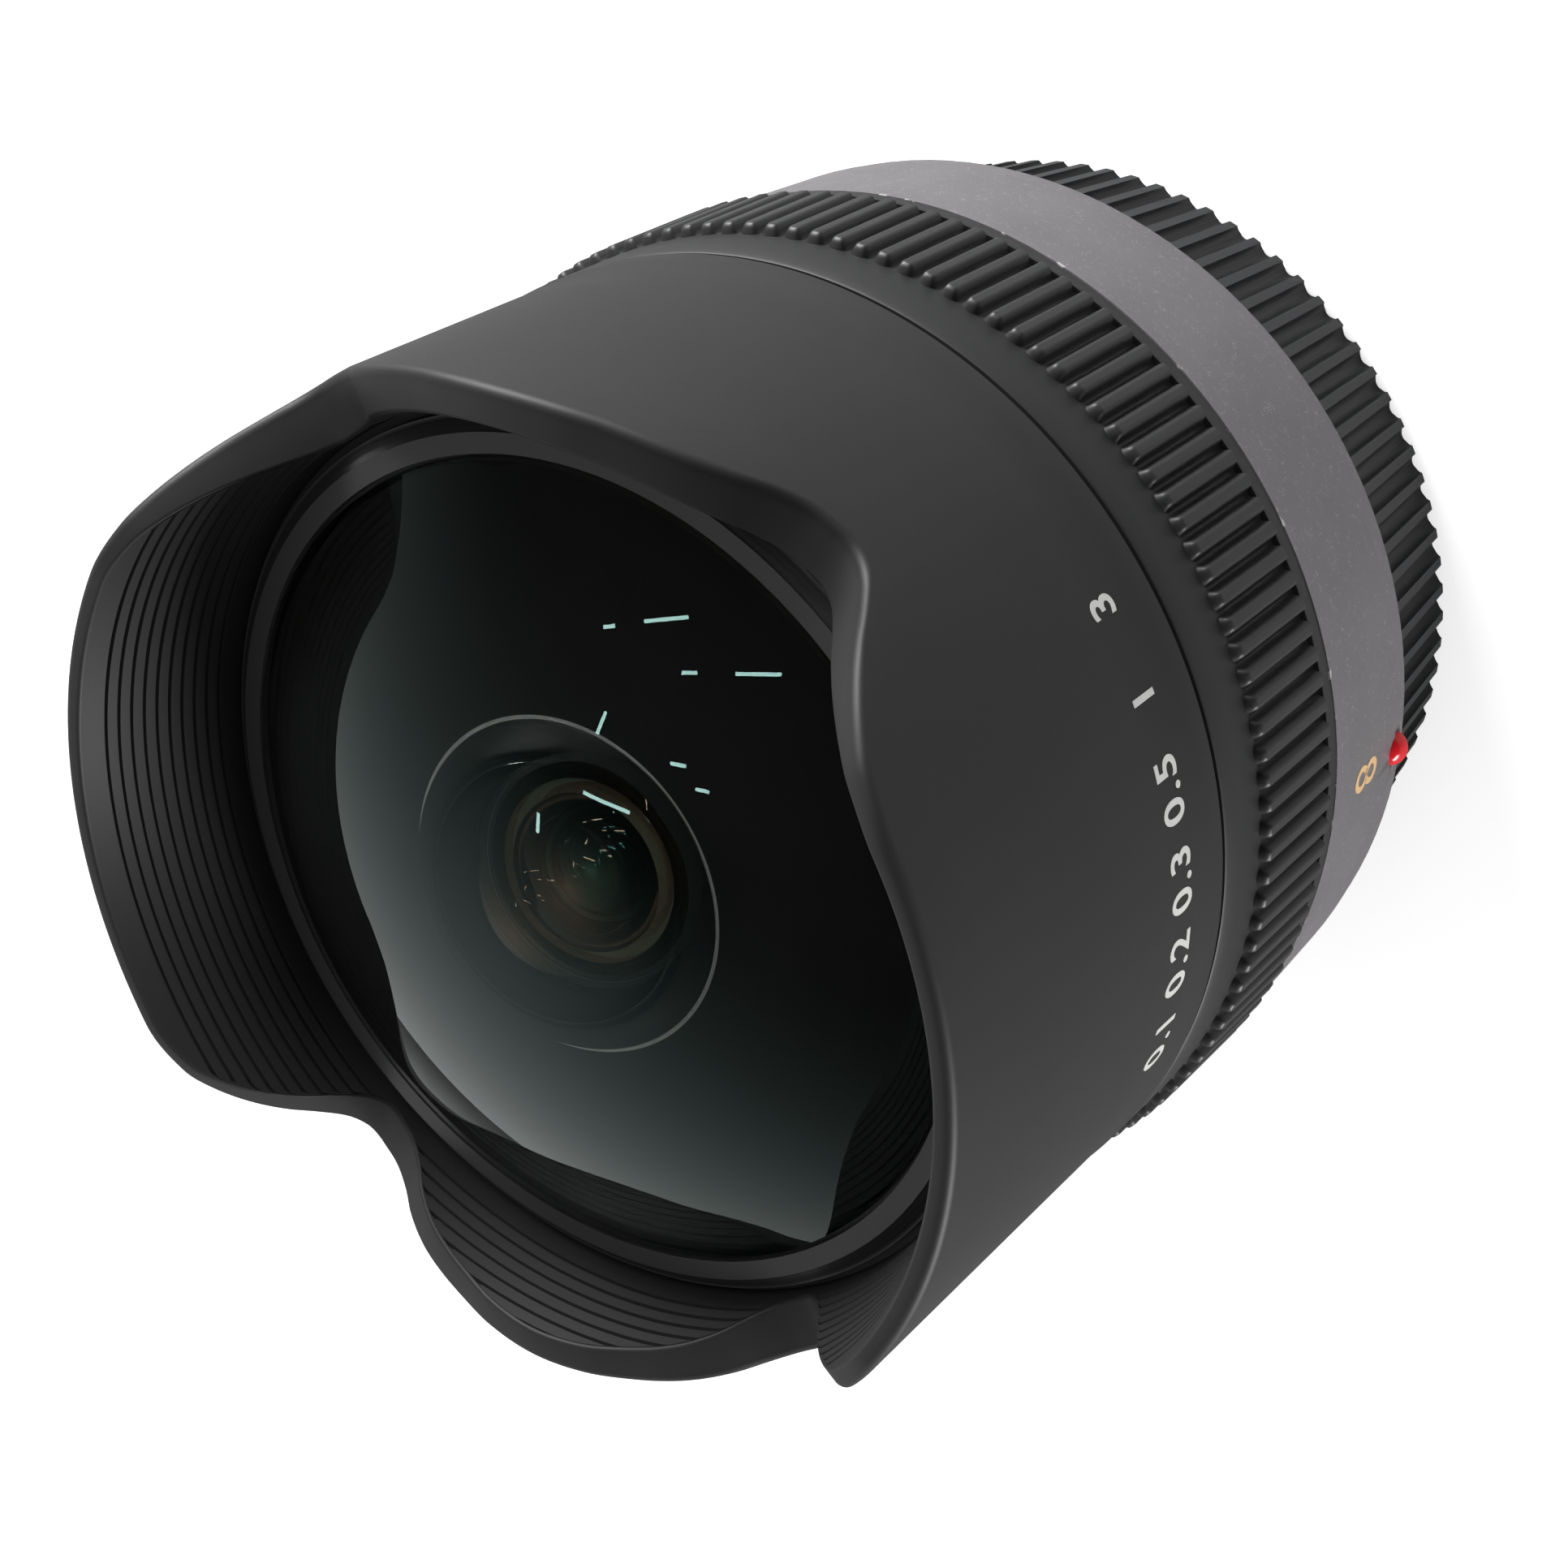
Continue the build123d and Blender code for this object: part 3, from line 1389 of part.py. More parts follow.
def contact_block():
    back = block_set - tube_length
    with BuildPart() as block:
        with BuildSketch(Plane.XY.offset(back)):
            with PolarLocations(0, 1, -90):
                add(sector_face(block_inner_radius, tube_bore - seat_fit, block_arc))
        extrude(amount=-baffle_set - back)
        with BuildSketch(Plane.XY.offset(back)):
            with PolarLocations(pin_place, pin_count, pin_start, pin_count * pin_pitch_angle):
                Circle(pin_radius + seat_fit)
        extrude(amount=pin_depth, mode=Mode.SUBTRACT)
    keep(block, "contact_block")
    with BuildPart() as pins:
        with BuildSketch(Plane.XY.offset(back - pin_proud)):
            with PolarLocations(pin_place, pin_count, pin_start, pin_count * pin_pitch_angle):
                Circle(pin_radius)
        extrude(amount=pin_proud + pin_depth - seat_fit)
    keep(pins, "contact_pins")


def rear_baffle():
    """Black plate in the mount's throat with a rounded window for the light."""
    with BuildPart() as baffle:
        with BuildSketch(Plane.XY.offset(-baffle_set)):
            Circle(tube_bore - seat_fit)
            RectangleRounded(window_width, window_height, window_corner, mode=Mode.SUBTRACT)
        extrude(amount=baffle_thickness)
    keep(baffle, "rear_baffle")


def filter_holder():
    """Sheet frame with two hooked sides that a cut piece of filter sheet slides under."""
    back = -baffle_set - holder_thickness
    outer_width = window_width + 2 * holder_frame
    outer_height = window_height + 2 * holder_frame
    hook_back = back - claw_height
    with BuildPart() as holder:
        with BuildSketch(Plane.XY.offset(back)):
            RectangleRounded(outer_width, outer_height, window_corner)
            RectangleRounded(window_width, window_height, window_corner, mode=Mode.SUBTRACT)
        extrude(amount=holder_thickness)
        for side in (-1, 1):
            with BuildSketch(Plane.XZ):
                with BuildLine():
                    Polyline(
                        (side * outer_width / 2, back + holder_thickness),
                        (side * outer_width / 2, hook_back),
                        (side * (outer_width / 2 - holder_frame), hook_back),
                        (side * (outer_width / 2 - holder_frame), hook_back + claw_wall),
                        (side * (outer_width / 2 - claw_wall), hook_back + claw_wall),
                        (side * (outer_width / 2 - claw_wall), back + holder_thickness),
                        close=True,
                    )
                make_face()
            extrude(amount=claw_width, both=True)
    keep(holder, "filter_holder")


def rear_cap():
    """Ribbed cup with a ring and three lugs that pass between the mount's tabs."""
    front = -cap_gap
    back = front - cap_length
    floor = back + cap_floor
    slope = (cap_front_radius - cap_back_radius) / cap_length
    groove_front = front - cap_collar - cap_groove_radius
    outline = [
        (0, back + cap_recess_depth),
        (cap_recess_radius, back + cap_recess_depth),
        (cap_recess_radius, back),
        (cap_back_radius - cap_back_round, back),
        (cap_back_radius, back + cap_back_round),
        (cap_front_radius, front),
        (cap_wall_radius, front),
        (cap_wall_radius, floor),
        (cap_ring_radius + cap_ring_wall, floor),
        (cap_ring_radius + cap_ring_wall, -cap_ring_gap),
        (cap_ring_radius, -cap_ring_gap),
        (cap_ring_radius, floor),
        (0, floor),
    ]
    low = back - cap_collar
    axis_front = (cap_front_radius + slope * (groove_front - front) - cap_groove_set, groove_front)
    axis_back = (cap_front_radius + slope * (low - front) - cap_groove_set, low)
    lean = hypot(slope, 1)
    side = (-cap_groove_radius / lean, cap_groove_radius * slope / lean)
    ahead = (cap_groove_radius * slope / lean, cap_groove_radius / lean)
    diagonal = ((side[0] + ahead[0]) / sqrt(2), (side[1] + ahead[1]) / sqrt(2))
    with BuildPart() as cutter:
        with BuildSketch(Plane.XZ):
            with BuildLine():
                Polyline(
                    (axis_front[0] + ahead[0], axis_front[1] + ahead[1]),
                    axis_back,
                    (axis_back[0] + side[0], axis_back[1] + side[1]),
                    (axis_front[0] + side[0], axis_front[1] + side[1]),
                )
                ThreePointArc(
                    (axis_front[0] + side[0], axis_front[1] + side[1]),
                    (axis_front[0] + diagonal[0], axis_front[1] + diagonal[1]),
                    (axis_front[0] + ahead[0], axis_front[1] + ahead[1]),
                )
            make_face()
        revolve(axis=Axis((axis_front[0], 0, axis_front[1]), (slope, 0, 1)))
    with BuildPart() as cap:
        with BuildSketch(Plane.XZ):
            with BuildLine():
                Polyline(*outline, close=True)
            make_face()
        revolve(axis=Axis.Z)
        with BuildSketch(Plane.XY.offset(-cap_lug_set - cap_lug_thickness)):
            with PolarLocations(0, tab_count, tab_start + 180 / tab_count):
                add(sector_face(cap_lug_radius, cap_ring_radius + cap_ring_wall / 2, cap_lug_angle))
        extrude(amount=cap_lug_thickness)
        with PolarLocations(0, cap_rib_count):
            add(cutter.part, mode=Mode.SUBTRACT)
    keep(cap, "rear_cap")


if __name__ == "__main__":
    os.makedirs("parts", exist_ok=True)
    hood_barrel()
    front_glass_ring()
    front_seal()
    front_element()
    inner_elements()
    front_cell()
    cell_spacers()
    cell_screws()
    focus_ring()
    ring_washers()
    encoder_strip()
    chassis()
    ring_sensor()
    silver_barrel()
    index_dot()
    barrel_screws()
    main_board()
    rear_cell()
    guide_rods()
    focus_motor()
    lead_screw()
    focus_carrier()
    carrier_nut()
    iris_base()
    iris_cover()
    iris_ring()
    iris_pinion()
    iris_motor()
    iris_blades()
    iris_screws()
    flex_cable()
    bayonet_mount()
    mount_screws()
    contact_block()
    rear_baffle()
    filter_holder()
    rear_cap()
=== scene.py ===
"""Hood, focus ring, front glass, numbers, finishes, studio and camera for a fisheye lens.

Everything is in metres in the lens's own frame: the origin is the centre of the mount's flange
face, +Z runs along the optical axis to the front, and +Y points to the red index dot.
"""

from math import asin, cos, degrees, pi, radians, sin, sqrt

import bmesh
import bpy
from bpy.props import FloatProperty, FloatVectorProperty, PointerProperty
from mathutils import Euler, Matrix, Vector
from mathutils.bvhtree import BVHTree


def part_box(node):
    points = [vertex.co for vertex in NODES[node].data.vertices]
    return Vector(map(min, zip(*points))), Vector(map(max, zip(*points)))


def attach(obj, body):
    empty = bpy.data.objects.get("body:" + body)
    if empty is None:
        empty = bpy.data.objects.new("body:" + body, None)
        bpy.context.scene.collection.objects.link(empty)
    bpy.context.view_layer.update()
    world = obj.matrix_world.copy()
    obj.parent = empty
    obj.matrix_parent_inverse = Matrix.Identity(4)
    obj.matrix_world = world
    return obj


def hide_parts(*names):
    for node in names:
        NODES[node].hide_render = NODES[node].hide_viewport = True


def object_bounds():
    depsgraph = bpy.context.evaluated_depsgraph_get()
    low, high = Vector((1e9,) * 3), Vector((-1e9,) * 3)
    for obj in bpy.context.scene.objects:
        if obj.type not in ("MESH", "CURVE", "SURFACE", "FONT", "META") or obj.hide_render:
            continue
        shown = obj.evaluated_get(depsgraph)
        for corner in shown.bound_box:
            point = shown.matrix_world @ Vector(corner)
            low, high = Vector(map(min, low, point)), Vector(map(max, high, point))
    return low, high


bl_info = {
    "name": "Fisheye Lens",
    "version": (1, 0, 0),
    "blender": (4, 5, 0),
    "location": "3D View > Sidebar > Fisheye Lens",
    "description": "Finer forms, finishes, numbers and studio for a fisheye lens",
    "category": "Object",
}

MM = 0.001
HOOD_SKIN = 28.75 * MM
RIB_TOPS = 29.95 * MM
BAND_EDGE = 11.5 * MM
FADE = 0.35 * MM
WELD = 0.001 * MM
SECTION_WELD = 0.002 * MM
CAD_WELD = 0.0005 * MM
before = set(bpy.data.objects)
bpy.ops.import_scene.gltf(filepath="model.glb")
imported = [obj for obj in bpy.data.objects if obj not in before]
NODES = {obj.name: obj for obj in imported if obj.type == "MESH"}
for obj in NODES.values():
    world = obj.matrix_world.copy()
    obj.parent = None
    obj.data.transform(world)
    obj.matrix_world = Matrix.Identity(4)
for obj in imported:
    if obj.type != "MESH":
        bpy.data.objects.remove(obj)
CAD_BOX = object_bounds()


class FisheyeSizes(bpy.types.PropertyGroup):
    """Sizes of the forms and numbers modelled here, in metres."""

    dome_curve: FloatProperty(
        name="Dome curve", description="Radius of the front glass's dome",
        default=40 * MM, unit="LENGTH",
    )
    dome_radius: FloatProperty(
        name="Dome radius", description="Half the width of the polished dome",
        default=23.45 * MM, unit="LENGTH",
    )
    dome_thickness: FloatProperty(
        name="Glass thickness", description="Thickness of the front glass on the axis",
        default=3.2 * MM, unit="LENGTH",
    )
    bowl_curve: FloatProperty(
        name="Bowl curve", description="Radius of the front glass's rear surface",
        default=8.8 * MM, unit="LENGTH",
    )
    ground_edge: FloatProperty(
        name="Ground edge", description="Width of the ground bevel around the bowl",
        default=0.12 * MM, unit="LENGTH",
    )
    shoulder_height: FloatProperty(
        name="Shoulder height", description="Height of the front glass's shoulder over its seat",
        default=1.6 * MM, unit="LENGTH",
    )
    scale_digit: FloatProperty(
        name="Scale digit", description="Height of the white numbers on the hood",
        default=2.0 * MM, unit="LENGTH",
    )
    scale_height: FloatProperty(
        name="Scale height", description="Height of the white numbers' foot over the flange",
        default=28.5 * MM, unit="LENGTH",
    )
    band_digit: FloatProperty(
        name="Band digit", description="Height of the orange number on the silver band",
        default=3.1 * MM, unit="LENGTH",
    )
    band_digit_height: FloatProperty(
        name="Band digit place", description="Height of the orange number's middle over the flange",
        default=7.2 * MM, unit="LENGTH",
    )
    band_digit_angle: FloatProperty(
        name="Band digit angle", description="Place of the orange number around the band",
        default=radians(90.8), subtype="ANGLE",
    )
    ink: FloatProperty(
        name="Ink thickness", description="How far printed numbers stand out",
        default=0.03 * MM, unit="LENGTH",
    )
    stroke: FloatProperty(
        name="Stroke width", description="Stroke width of the orange number",
        default=0.42 * MM, unit="LENGTH",
    )
    hood_radius: FloatProperty(
        name="Hood radius", description="Outside radius of the hood in front of its crease",
        default=29.6 * MM, unit="LENGTH",
    )
    hood_mouth: FloatProperty(
        name="Hood mouth", description="Inside radius of the hood at its rim",
        default=28.4 * MM, unit="LENGTH",
    )
    hood_throat: FloatProperty(
        name="Hood throat", description="Inside radius of the hood beside the glass",
        default=26.3 * MM, unit="LENGTH",
    )
    rim_round: FloatProperty(
        name="Rim rounding", description="Radius of the rim's outer edge",
        default=0.55 * MM, unit="LENGTH",
    )
    petal_half_flat: FloatProperty(
        name="Long petal", description="Half the angle over which a long petal keeps its height",
        default=radians(29.5), subtype="ANGLE",
    )
    notch_angle: FloatProperty(
        name="Notch place", description="Angle from the middle of a long petal to the notch",
        default=radians(55.5), subtype="ANGLE",
    )
    notch_depth: FloatProperty(
        name="Notch depth", description="How far the notches lie behind the long petals",
        default=9.4 * MM, unit="LENGTH",
    )
    side_petal_drop: FloatProperty(
        name="Short petal", description="How far the short petals lie behind the long ones",
        default=3.9 * MM, unit="LENGTH",
    )
    ring_radius: FloatProperty(
        name="Ring radius", description="Radius of the focus ring between and before its ribs",
        default=29.7 * MM, unit="LENGTH",
    )
    rib_height: FloatProperty(
        name="Rib height", description="Height of the focus ring's ribs",
        default=0.65 * MM, unit="LENGTH",
    )
    rib_length: FloatProperty(
        name="Rib length", description="Length of the focus ring's ribs",
        default=7.7 * MM, unit="LENGTH",
    )
    rib_crest: FloatProperty(
        name="Rib crest", description="Half the width of a rib's crest",
        default=0.27 * MM, unit="LENGTH",
    )
    rib_foot: FloatProperty(
        name="Rib foot", description="Half the width of a rib at its foot",
        default=0.67 * MM, unit="LENGTH",
    )
    dot_radius: FloatProperty(
        name="Dot radius", description="Radius of the red index dot",
        default=1.05 * MM, unit="LENGTH",
    )
    dot_proud: FloatProperty(
        name="Dot height", description="How far the red index dot stands out",
        default=0.8 * MM, unit="LENGTH",
    )
    groove_pitch: FloatProperty(
        name="Groove pitch", description="Distance between the grooves inside the hood",
        default=0.8 * MM, unit="LENGTH",
    )
    groove_depth: FloatProperty(
        name="Groove depth", description="Depth of the grooves inside the hood",
        default=0.26 * MM, unit="LENGTH",
    )
    groove_width: FloatProperty(
        name="Groove width", description="Width of the grooves inside the hood",
        default=0.24 * MM, unit="LENGTH",
    )


class FisheyeColours(bpy.types.PropertyGroup):
    """Colours of the finishes."""

    hood: FloatVectorProperty(
        name="Hood", description="Matte coat of the hood", subtype="COLOR",
        default=(0.022, 0.022, 0.0218), min=0, max=1,
    )
    # Painted light: the inside of the hood is coloured a shade lighter than the outside, standing
    # in for light in its shaded inside.
    hood_inside_lit: FloatVectorProperty(
        name="Hood inside", description="Glare-stop coat inside the hood", subtype="COLOR",
        default=(0.026, 0.026, 0.0265), min=0, max=1,
    )
    ring: FloatVectorProperty(
        name="Focus ring", description="Moulded focus ring", subtype="COLOR",
        default=(0.02, 0.0205, 0.0205), min=0, max=1,
    )
    silver: FloatVectorProperty(
        name="Silver band", description="Speckled metallic paint of the band", subtype="COLOR",
        default=(0.215, 0.204, 0.214), min=0, max=1,
    )
    cap: FloatVectorProperty(
        name="Rear cap", description="Moulded rear cap", subtype="COLOR",
        default=(0.026, 0.027, 0.029), min=0, max=1,
    )
    number: FloatVectorProperty(
        name="Number", description="Orange number on the band", subtype="COLOR",
        default=(0.74, 0.48, 0.24), min=0, max=1,
    )
    scale: FloatVectorProperty(
        name="Scale", description="White numbers on the hood", subtype="COLOR",
        default=(0.62, 0.62, 0.6), min=0, max=1,
    )
    dot: FloatVectorProperty(
        name="Index dot", description="Red index dot", subtype="COLOR",
        default=(0.68, 0.012, 0.02), min=0, max=1,
    )


def sizes():
    return bpy.context.scene.fisheye_sizes


def colours():
    return bpy.context.scene.fisheye_colours


class Amount:
    """A number that varies over a surface. Python's operators on it add Math nodes."""

    def __init__(self, finish, socket):
        self.finish = finish
        self.socket = socket

    def __add__(self, other):
        return self.finish.maths("ADD", self, other)

    def __radd__(self, other):
        return self.finish.maths("ADD", other, self)

    def __sub__(self, other):
        return self.finish.maths("SUBTRACT", self, other)

    def __rsub__(self, other):
        return self.finish.maths("SUBTRACT", other, self)

    def __mul__(self, other):
        return self.finish.maths("MULTIPLY", self, other)

    def __rmul__(self, other):
        return self.finish.maths("MULTIPLY", other, self)

    def __truediv__(self, other):
        return self.finish.maths("DIVIDE", self, other)

    def __pow__(self, other):
        return self.finish.maths("POWER", self, other)

    def clamped(self):
        return self.finish.node("ShaderNodeClamp", sockets={"Value": self})


class Finish:
    """Node tree of one material around a Principled surface."""

    def __init__(self, name, colour=(0.5, 0.5, 0.5), **fixed):
        self.material = bpy.data.materials.new(name)
        self.material.use_nodes = True
        self.tree = self.material.node_tree
        self.surface = self.tree.nodes["Principled BSDF"]
        self.feed(self.surface.inputs["Base Color"], tuple(colour))
        for socket, value in fixed.items():
            self.feed(self.surface.inputs[socket.replace("_", " ").title()], value)
        self.place = self.node("ShaderNodeTexCoord", output="Object")

    def feed(self, socket, value):
        """Sets a socket, or links it where the value comes from a node."""
        if isinstance(value, Amount):
            self.tree.links.new(value.socket, socket)
        elif isinstance(value, tuple) and len(value) == 3 and socket.type == "RGBA":
            socket.default_value = (*value, 1)
        else:
            socket.default_value = value

    def node(self, kind, output=0, settings=None, sockets=None):
        """Adds a node and gives one of its outputs."""
        added = self.tree.nodes.new(kind)
        for name, value in (settings or {}).items():
            setattr(added, name, value)
        for name, value in (sockets or {}).items():
            self.feed(added.inputs[name], value)
        return Amount(self, added.outputs[output])

    def maths(self, operation, first, second):
        settings = {"operation": operation}
        return self.node("ShaderNodeMath", settings=settings, sockets={0: first, 1: second})

    def mix(self, share, first, second):
        """Colour between two colours."""
        settings = {"data_type": "RGBA"}
        return self.node(
            "ShaderNodeMix", output=2, settings=settings, sockets={0: share, 6: first, 7: second}
        )

    def noise(self, size, detail=2.0, rough=0.5):
        sockets = {"Vector": self.place, "Scale": 1 / size, "Detail": detail, "Roughness": rough}
        return self.node("ShaderNodeTexNoise", sockets=sockets)

    def cells(self, size):
        """Distance from the nearest of many scattered points, for speckle."""
        sockets = {"Vector": self.place, "Scale": 1 / size}
        return self.node("ShaderNodeTexVoronoi", sockets=sockets)

    def along(self, axis):
        """Place along one axis of the lens's frame: 0 is X, 1 is Y and 2 is Z."""
        return self.node("ShaderNodeSeparateXYZ", output=axis, sockets={"Vector": self.place})

    def from_axis(self):
        """Distance from the optical axis."""
        across = self.along(0)
        up = self.along(1)
        return (across * across + up * up) ** 0.5

    def set(self, socket, value):
        self.feed(self.surface.inputs[socket], value)

    def bump(self, height, depth, strength=1.0):
        sockets = {"Height": height, "Distance": depth, "Strength": strength}
        self.set("Normal", self.node("ShaderNodeBump", sockets=sockets))


def step_up(amount, start, width):
    """0 below start, 1 above start + width."""
    return ((amount - start) / width).clamped()


def hood_coat():
    """Matte coat with a fine grain; the inside of the hood is painted a shade lighter, painted
    light where the inside lies in shade.
    """
    paint = colours()
    coat = Finish("hood_coat", tuple(paint.hood), roughness=0.5)
    coat.surface.inputs["Specular IOR Level"].default_value = 0.32
    grain = coat.noise(0.09 * MM, 3.0)
    cloud = coat.noise(9 * MM, 2.0)
    outside = step_up(coat.from_axis(), HOOD_SKIN, FADE)
    skin = coat.mix(cloud, tuple(0.9 * c for c in paint.hood), tuple(1.12 * c for c in paint.hood))
    # Painted light: the inside of the hood gets the lighter inside colour.
    coat.set("Base Color", coat.mix(outside, tuple(paint.hood_inside_lit), skin))
    coat.set("Roughness", 0.44 + 0.14 * grain)
    coat.bump(grain + 0.3 * coat.noise(0.4 * MM), 0.007 * MM, 0.5)
    return coat.material


def ring_plastic():
    """Satin moulding; the rib tops are painted lighter as a painted highlight, and are also
    polished a little where fingers touch them.
    """
    paint = colours()
    ring = Finish("ring_plastic", tuple(paint.ring), roughness=0.4)
    grain = ring.noise(0.07 * MM, 2.0)
    top = step_up(ring.from_axis(), RIB_TOPS, FADE)
    # Painted highlight: the rib tops get a lighter colour than the rest of the ring, standing in
    # for light on the crests.
    below_top_colour = tuple(0.8 * c for c in paint.ring)
    highlit_top_colour = tuple(1.35 * c for c in paint.ring)
    ring.set("Base Color", ring.mix(top, below_top_colour, highlit_top_colour))
    ring.set("Roughness", 0.46 - 0.1 * top + 0.1 * grain)
    ring.bump(grain, 0.006 * MM, 0.5)
    return ring.material


def silver_paint():
    """Grey metallic paint with fine flakes and small bright nicks at its front edge."""
    paint = colours()
    coat = Finish("silver_paint", tuple(paint.silver), metallic=0.45, roughness=0.45)
    flakes = 1 - step_up(coat.cells(0.14 * MM), 0.16, 0.24)
    lively = step_up(coat.noise(0.5 * MM, 3.0), 0.52, 0.16)
    cloud = coat.noise(5 * MM, 3.0)
    front_edge = step_up(coat.along(2), BAND_EDGE, 0.25 * MM)
    nicks = front_edge * step_up(coat.noise(1.1 * MM, 3.0), 0.62, 0.04)
    dark = tuple(0.86 * c for c in paint.silver)
    light = tuple(1.12 * c for c in paint.silver)
    base = coat.mix(cloud, dark, light)
    speck = coat.mix(flakes * lively, base, (0.46, 0.445, 0.46))
    coat.set("Base Color", coat.mix(nicks, speck, (0.72, 0.71, 0.7)))
    coat.set("Roughness", 0.4 + 0.16 * coat.noise(0.12 * MM, 2.0))
    coat.bump(coat.noise(0.1 * MM, 2.0), 0.008 * MM, 0.6)
    return coat.material


def cap_plastic():
    """Injection-moulded black with a soft sheen and faint scuffs."""
    paint = colours()
    cap = Finish("cap_plastic", tuple(paint.cap), roughness=0.38)
    scuff = step_up(cap.noise(2.2 * MM, 5.0, 0.7), 0.56, 0.2)
    cap.set("Base Color", cap.mix(scuff, tuple(paint.cap), tuple(1.5 * c for c in paint.cap)))
    cap.set("Roughness", 0.34 + 0.12 * scuff + 0.06 * cap.noise(0.1 * MM))
    cap.bump(cap.noise(0.12 * MM, 3.0), 0.006 * MM, 0.5)
    return cap.material


def glare_black(name="glare_black", level=0.02, gloss=0.55):
    """Inner black with a light grain."""
    black = Finish(name, (level, level, level), roughness=gloss)
    grain = black.noise(0.08 * MM, 3.0)
    black.set("Base Color", black.mix(grain, (level * 0.7,) * 3, (level * 1.3,) * 3))
    black.set("Roughness", gloss - 0.06 + 0.12 * grain)
    black.bump(grain, 0.006 * MM, 0.4)
    return black.material


def glass_ring_coat():
    """Satin black of the ring before the glass, a little lighter than the hood's inside."""
    ring = Finish("glass_ring_coat", (0.045, 0.045, 0.046), roughness=0.4)
    grain = ring.noise(0.08 * MM, 3.0)
    ring.set("Base Color", ring.mix(grain, (0.036, 0.036, 0.037), (0.054, 0.054, 0.055)))
    ring.set("Roughness", 0.36 + 0.12 * grain)
    ring.bump(grain, 0.006 * MM, 0.4)
    return ring.material


def bright_metal(name, colour, gloss=0.25):
    """Machined metal with fine turning lines."""
    metal = Finish(name, colour, metallic=1.0, roughness=gloss)
    lines = metal.node(
        "ShaderNodeTexNoise", settings={"noise_dimensions": "1D"},
        sockets={"W": metal.from_axis(), "Scale": 1 / (0.12 * MM), "Detail": 3.0},
    )
    metal.set("Base Color", metal.mix(lines, tuple(0.88 * c for c in colour), colour))
    metal.set("Roughness", gloss - 0.05 + 0.12 * lines)
    return metal.material


def plain_moulding(name, colour, gloss=0.4):
    """Small moulded or coated part with slight unevenness."""
    piece = Finish(name, colour, roughness=gloss)
    cloud = piece.noise(0.6 * MM, 3.0)
    piece.set("Base Color", piece.mix(cloud, tuple(0.85 * c for c in colour), colour))
    piece.set("Roughness", gloss - 0.04 + 0.08 * cloud)
    return piece.material


def coated_glass(name, tint, reflection, index, coat=0.5):
    """Clear glass with a coloured antireflection coat and a trace of dust."""
    glass = Finish(name, tint, roughness=0.0)
    glass.surface.inputs["IOR"].default_value = index
    glass.surface.inputs["Transmission Weight"].default_value = 1.0
    glass.surface.inputs["Specular Tint"].default_value = (*reflection, 1)
    glass.surface.inputs["Specular IOR Level"].default_value = coat
    dust = step_up(glass.noise(0.5 * MM, 4.0, 0.6), 0.6, 0.15)
    glass.set("Base Color", glass.mix(dust, tint, tuple(0.9 * c for c in tint)))
    return glass.material


def dress(material, *names):
    """Gives CAD nodes a finish."""
    for name in names:
        slots = NODES[name].data.materials
        slots.clear()
        slots.append(material)


def finished(mesh_builder, name, material, body, replaces=(), smooth=None):
    """Turns a bmesh into a piece that rides on a body."""
    mesh = bpy.data.meshes.new(name)
    mesh_builder.to_mesh(mesh)
    mesh_builder.free()
    piece = bpy.data.objects.new(name, mesh)
    bpy.context.scene.collection.objects.link(piece)
    mesh.materials.append(material)
    if smooth is not None:
        mesh.shade_smooth()
        mesh.set_sharp_from_angle(angle=smooth)
    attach(piece, body)
    if replaces:
        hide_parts(*replaces)
    return piece


def smooth_twin(node, material, body, angle=radians(25)):
    """Copy of a CAD node with its facets joined, so that round faces shade smoothly."""
    shell = bmesh.new()
    shell.from_mesh(NODES[node].data)
    bmesh.ops.remove_doubles(shell, verts=shell.verts, dist=CAD_WELD)
    piece = finished(shell, f"{node}_shell", material, body, (node,), angle)
    even = piece.modifiers.new("even_shading", "WEIGHTED_NORMAL")
    even.keep_sharp = True
    return piece


def shape_of(node):
    """Mesh of a CAD node as a bmesh."""
    shell = bmesh.new()
    shell.from_mesh(NODES[node].data)
    return shell


def outside_of(tree, angle, height):
    """Radius of a node's outside at this angle and height."""
    outward = Vector((cos(angle), sin(angle), 0))
    reach = 50 * MM
    hit = tree.ray_cast(outward * reach + Vector((0, 0, height)), -outward)
    if hit[0] is None:
        raise RuntimeError(f"no surface at {degrees(angle):.1f} degrees and {height:.4f}")
    return reach - hit[3]


def on_surface(node, angle, height):
    """Radius of a CAD node's outside, for a single place on it."""
    return outside_of(BVHTree.FromBMesh(shape_of(node)), angle, height)


def wrapped(shell, node, angle, height):
    """Lays a flat print on a node: its X runs around the lens and its Y forward."""
    tree = BVHTree.FromBMesh(shape_of(node))
    middle = outside_of(tree, angle, height)
    for vert in shell.verts:
        direction = angle + vert.co.x / middle
        place = height + vert.co.y
        radius = outside_of(tree, direction, place) + vert.co.z
        vert.co = (radius * cos(direction), radius * sin(direction), place)
    bmesh.ops.recalc_face_normals(shell, faces=shell.faces)


def polar_shell(sections):
    """Closed ring of faces between sections of (radius, height) at even angles."""
    shell = bmesh.new()
    loops = []
    for column, section in enumerate(sections):
        angle = 2 * pi * column / len(sections)
        loops.append([
            shell.verts.new((radius * cos(angle), radius * sin(angle), height))
            for radius, height in section
        ])
    for left, right in zip(loops, loops[1:] + loops[:1]):
        for row in range(len(left)):
            shell.faces.new((left[row - 1], right[row - 1], right[row], left[row]))
    bmesh.ops.remove_doubles(shell, verts=shell.verts, dist=SECTION_WELD)
    bmesh.ops.recalc_face_normals(shell, faces=shell.faces)
    return shell


def arc_points(centre, curve, reach, count):
    """Radius and height of points on a sphere, from its top out to a radius."""
    widest = asin(min(reach / curve, 1))
    angles = [widest * k / count for k in range(count + 1)]
    return [(curve * sin(angle), centre + curve * cos(angle)) for angle in angles]


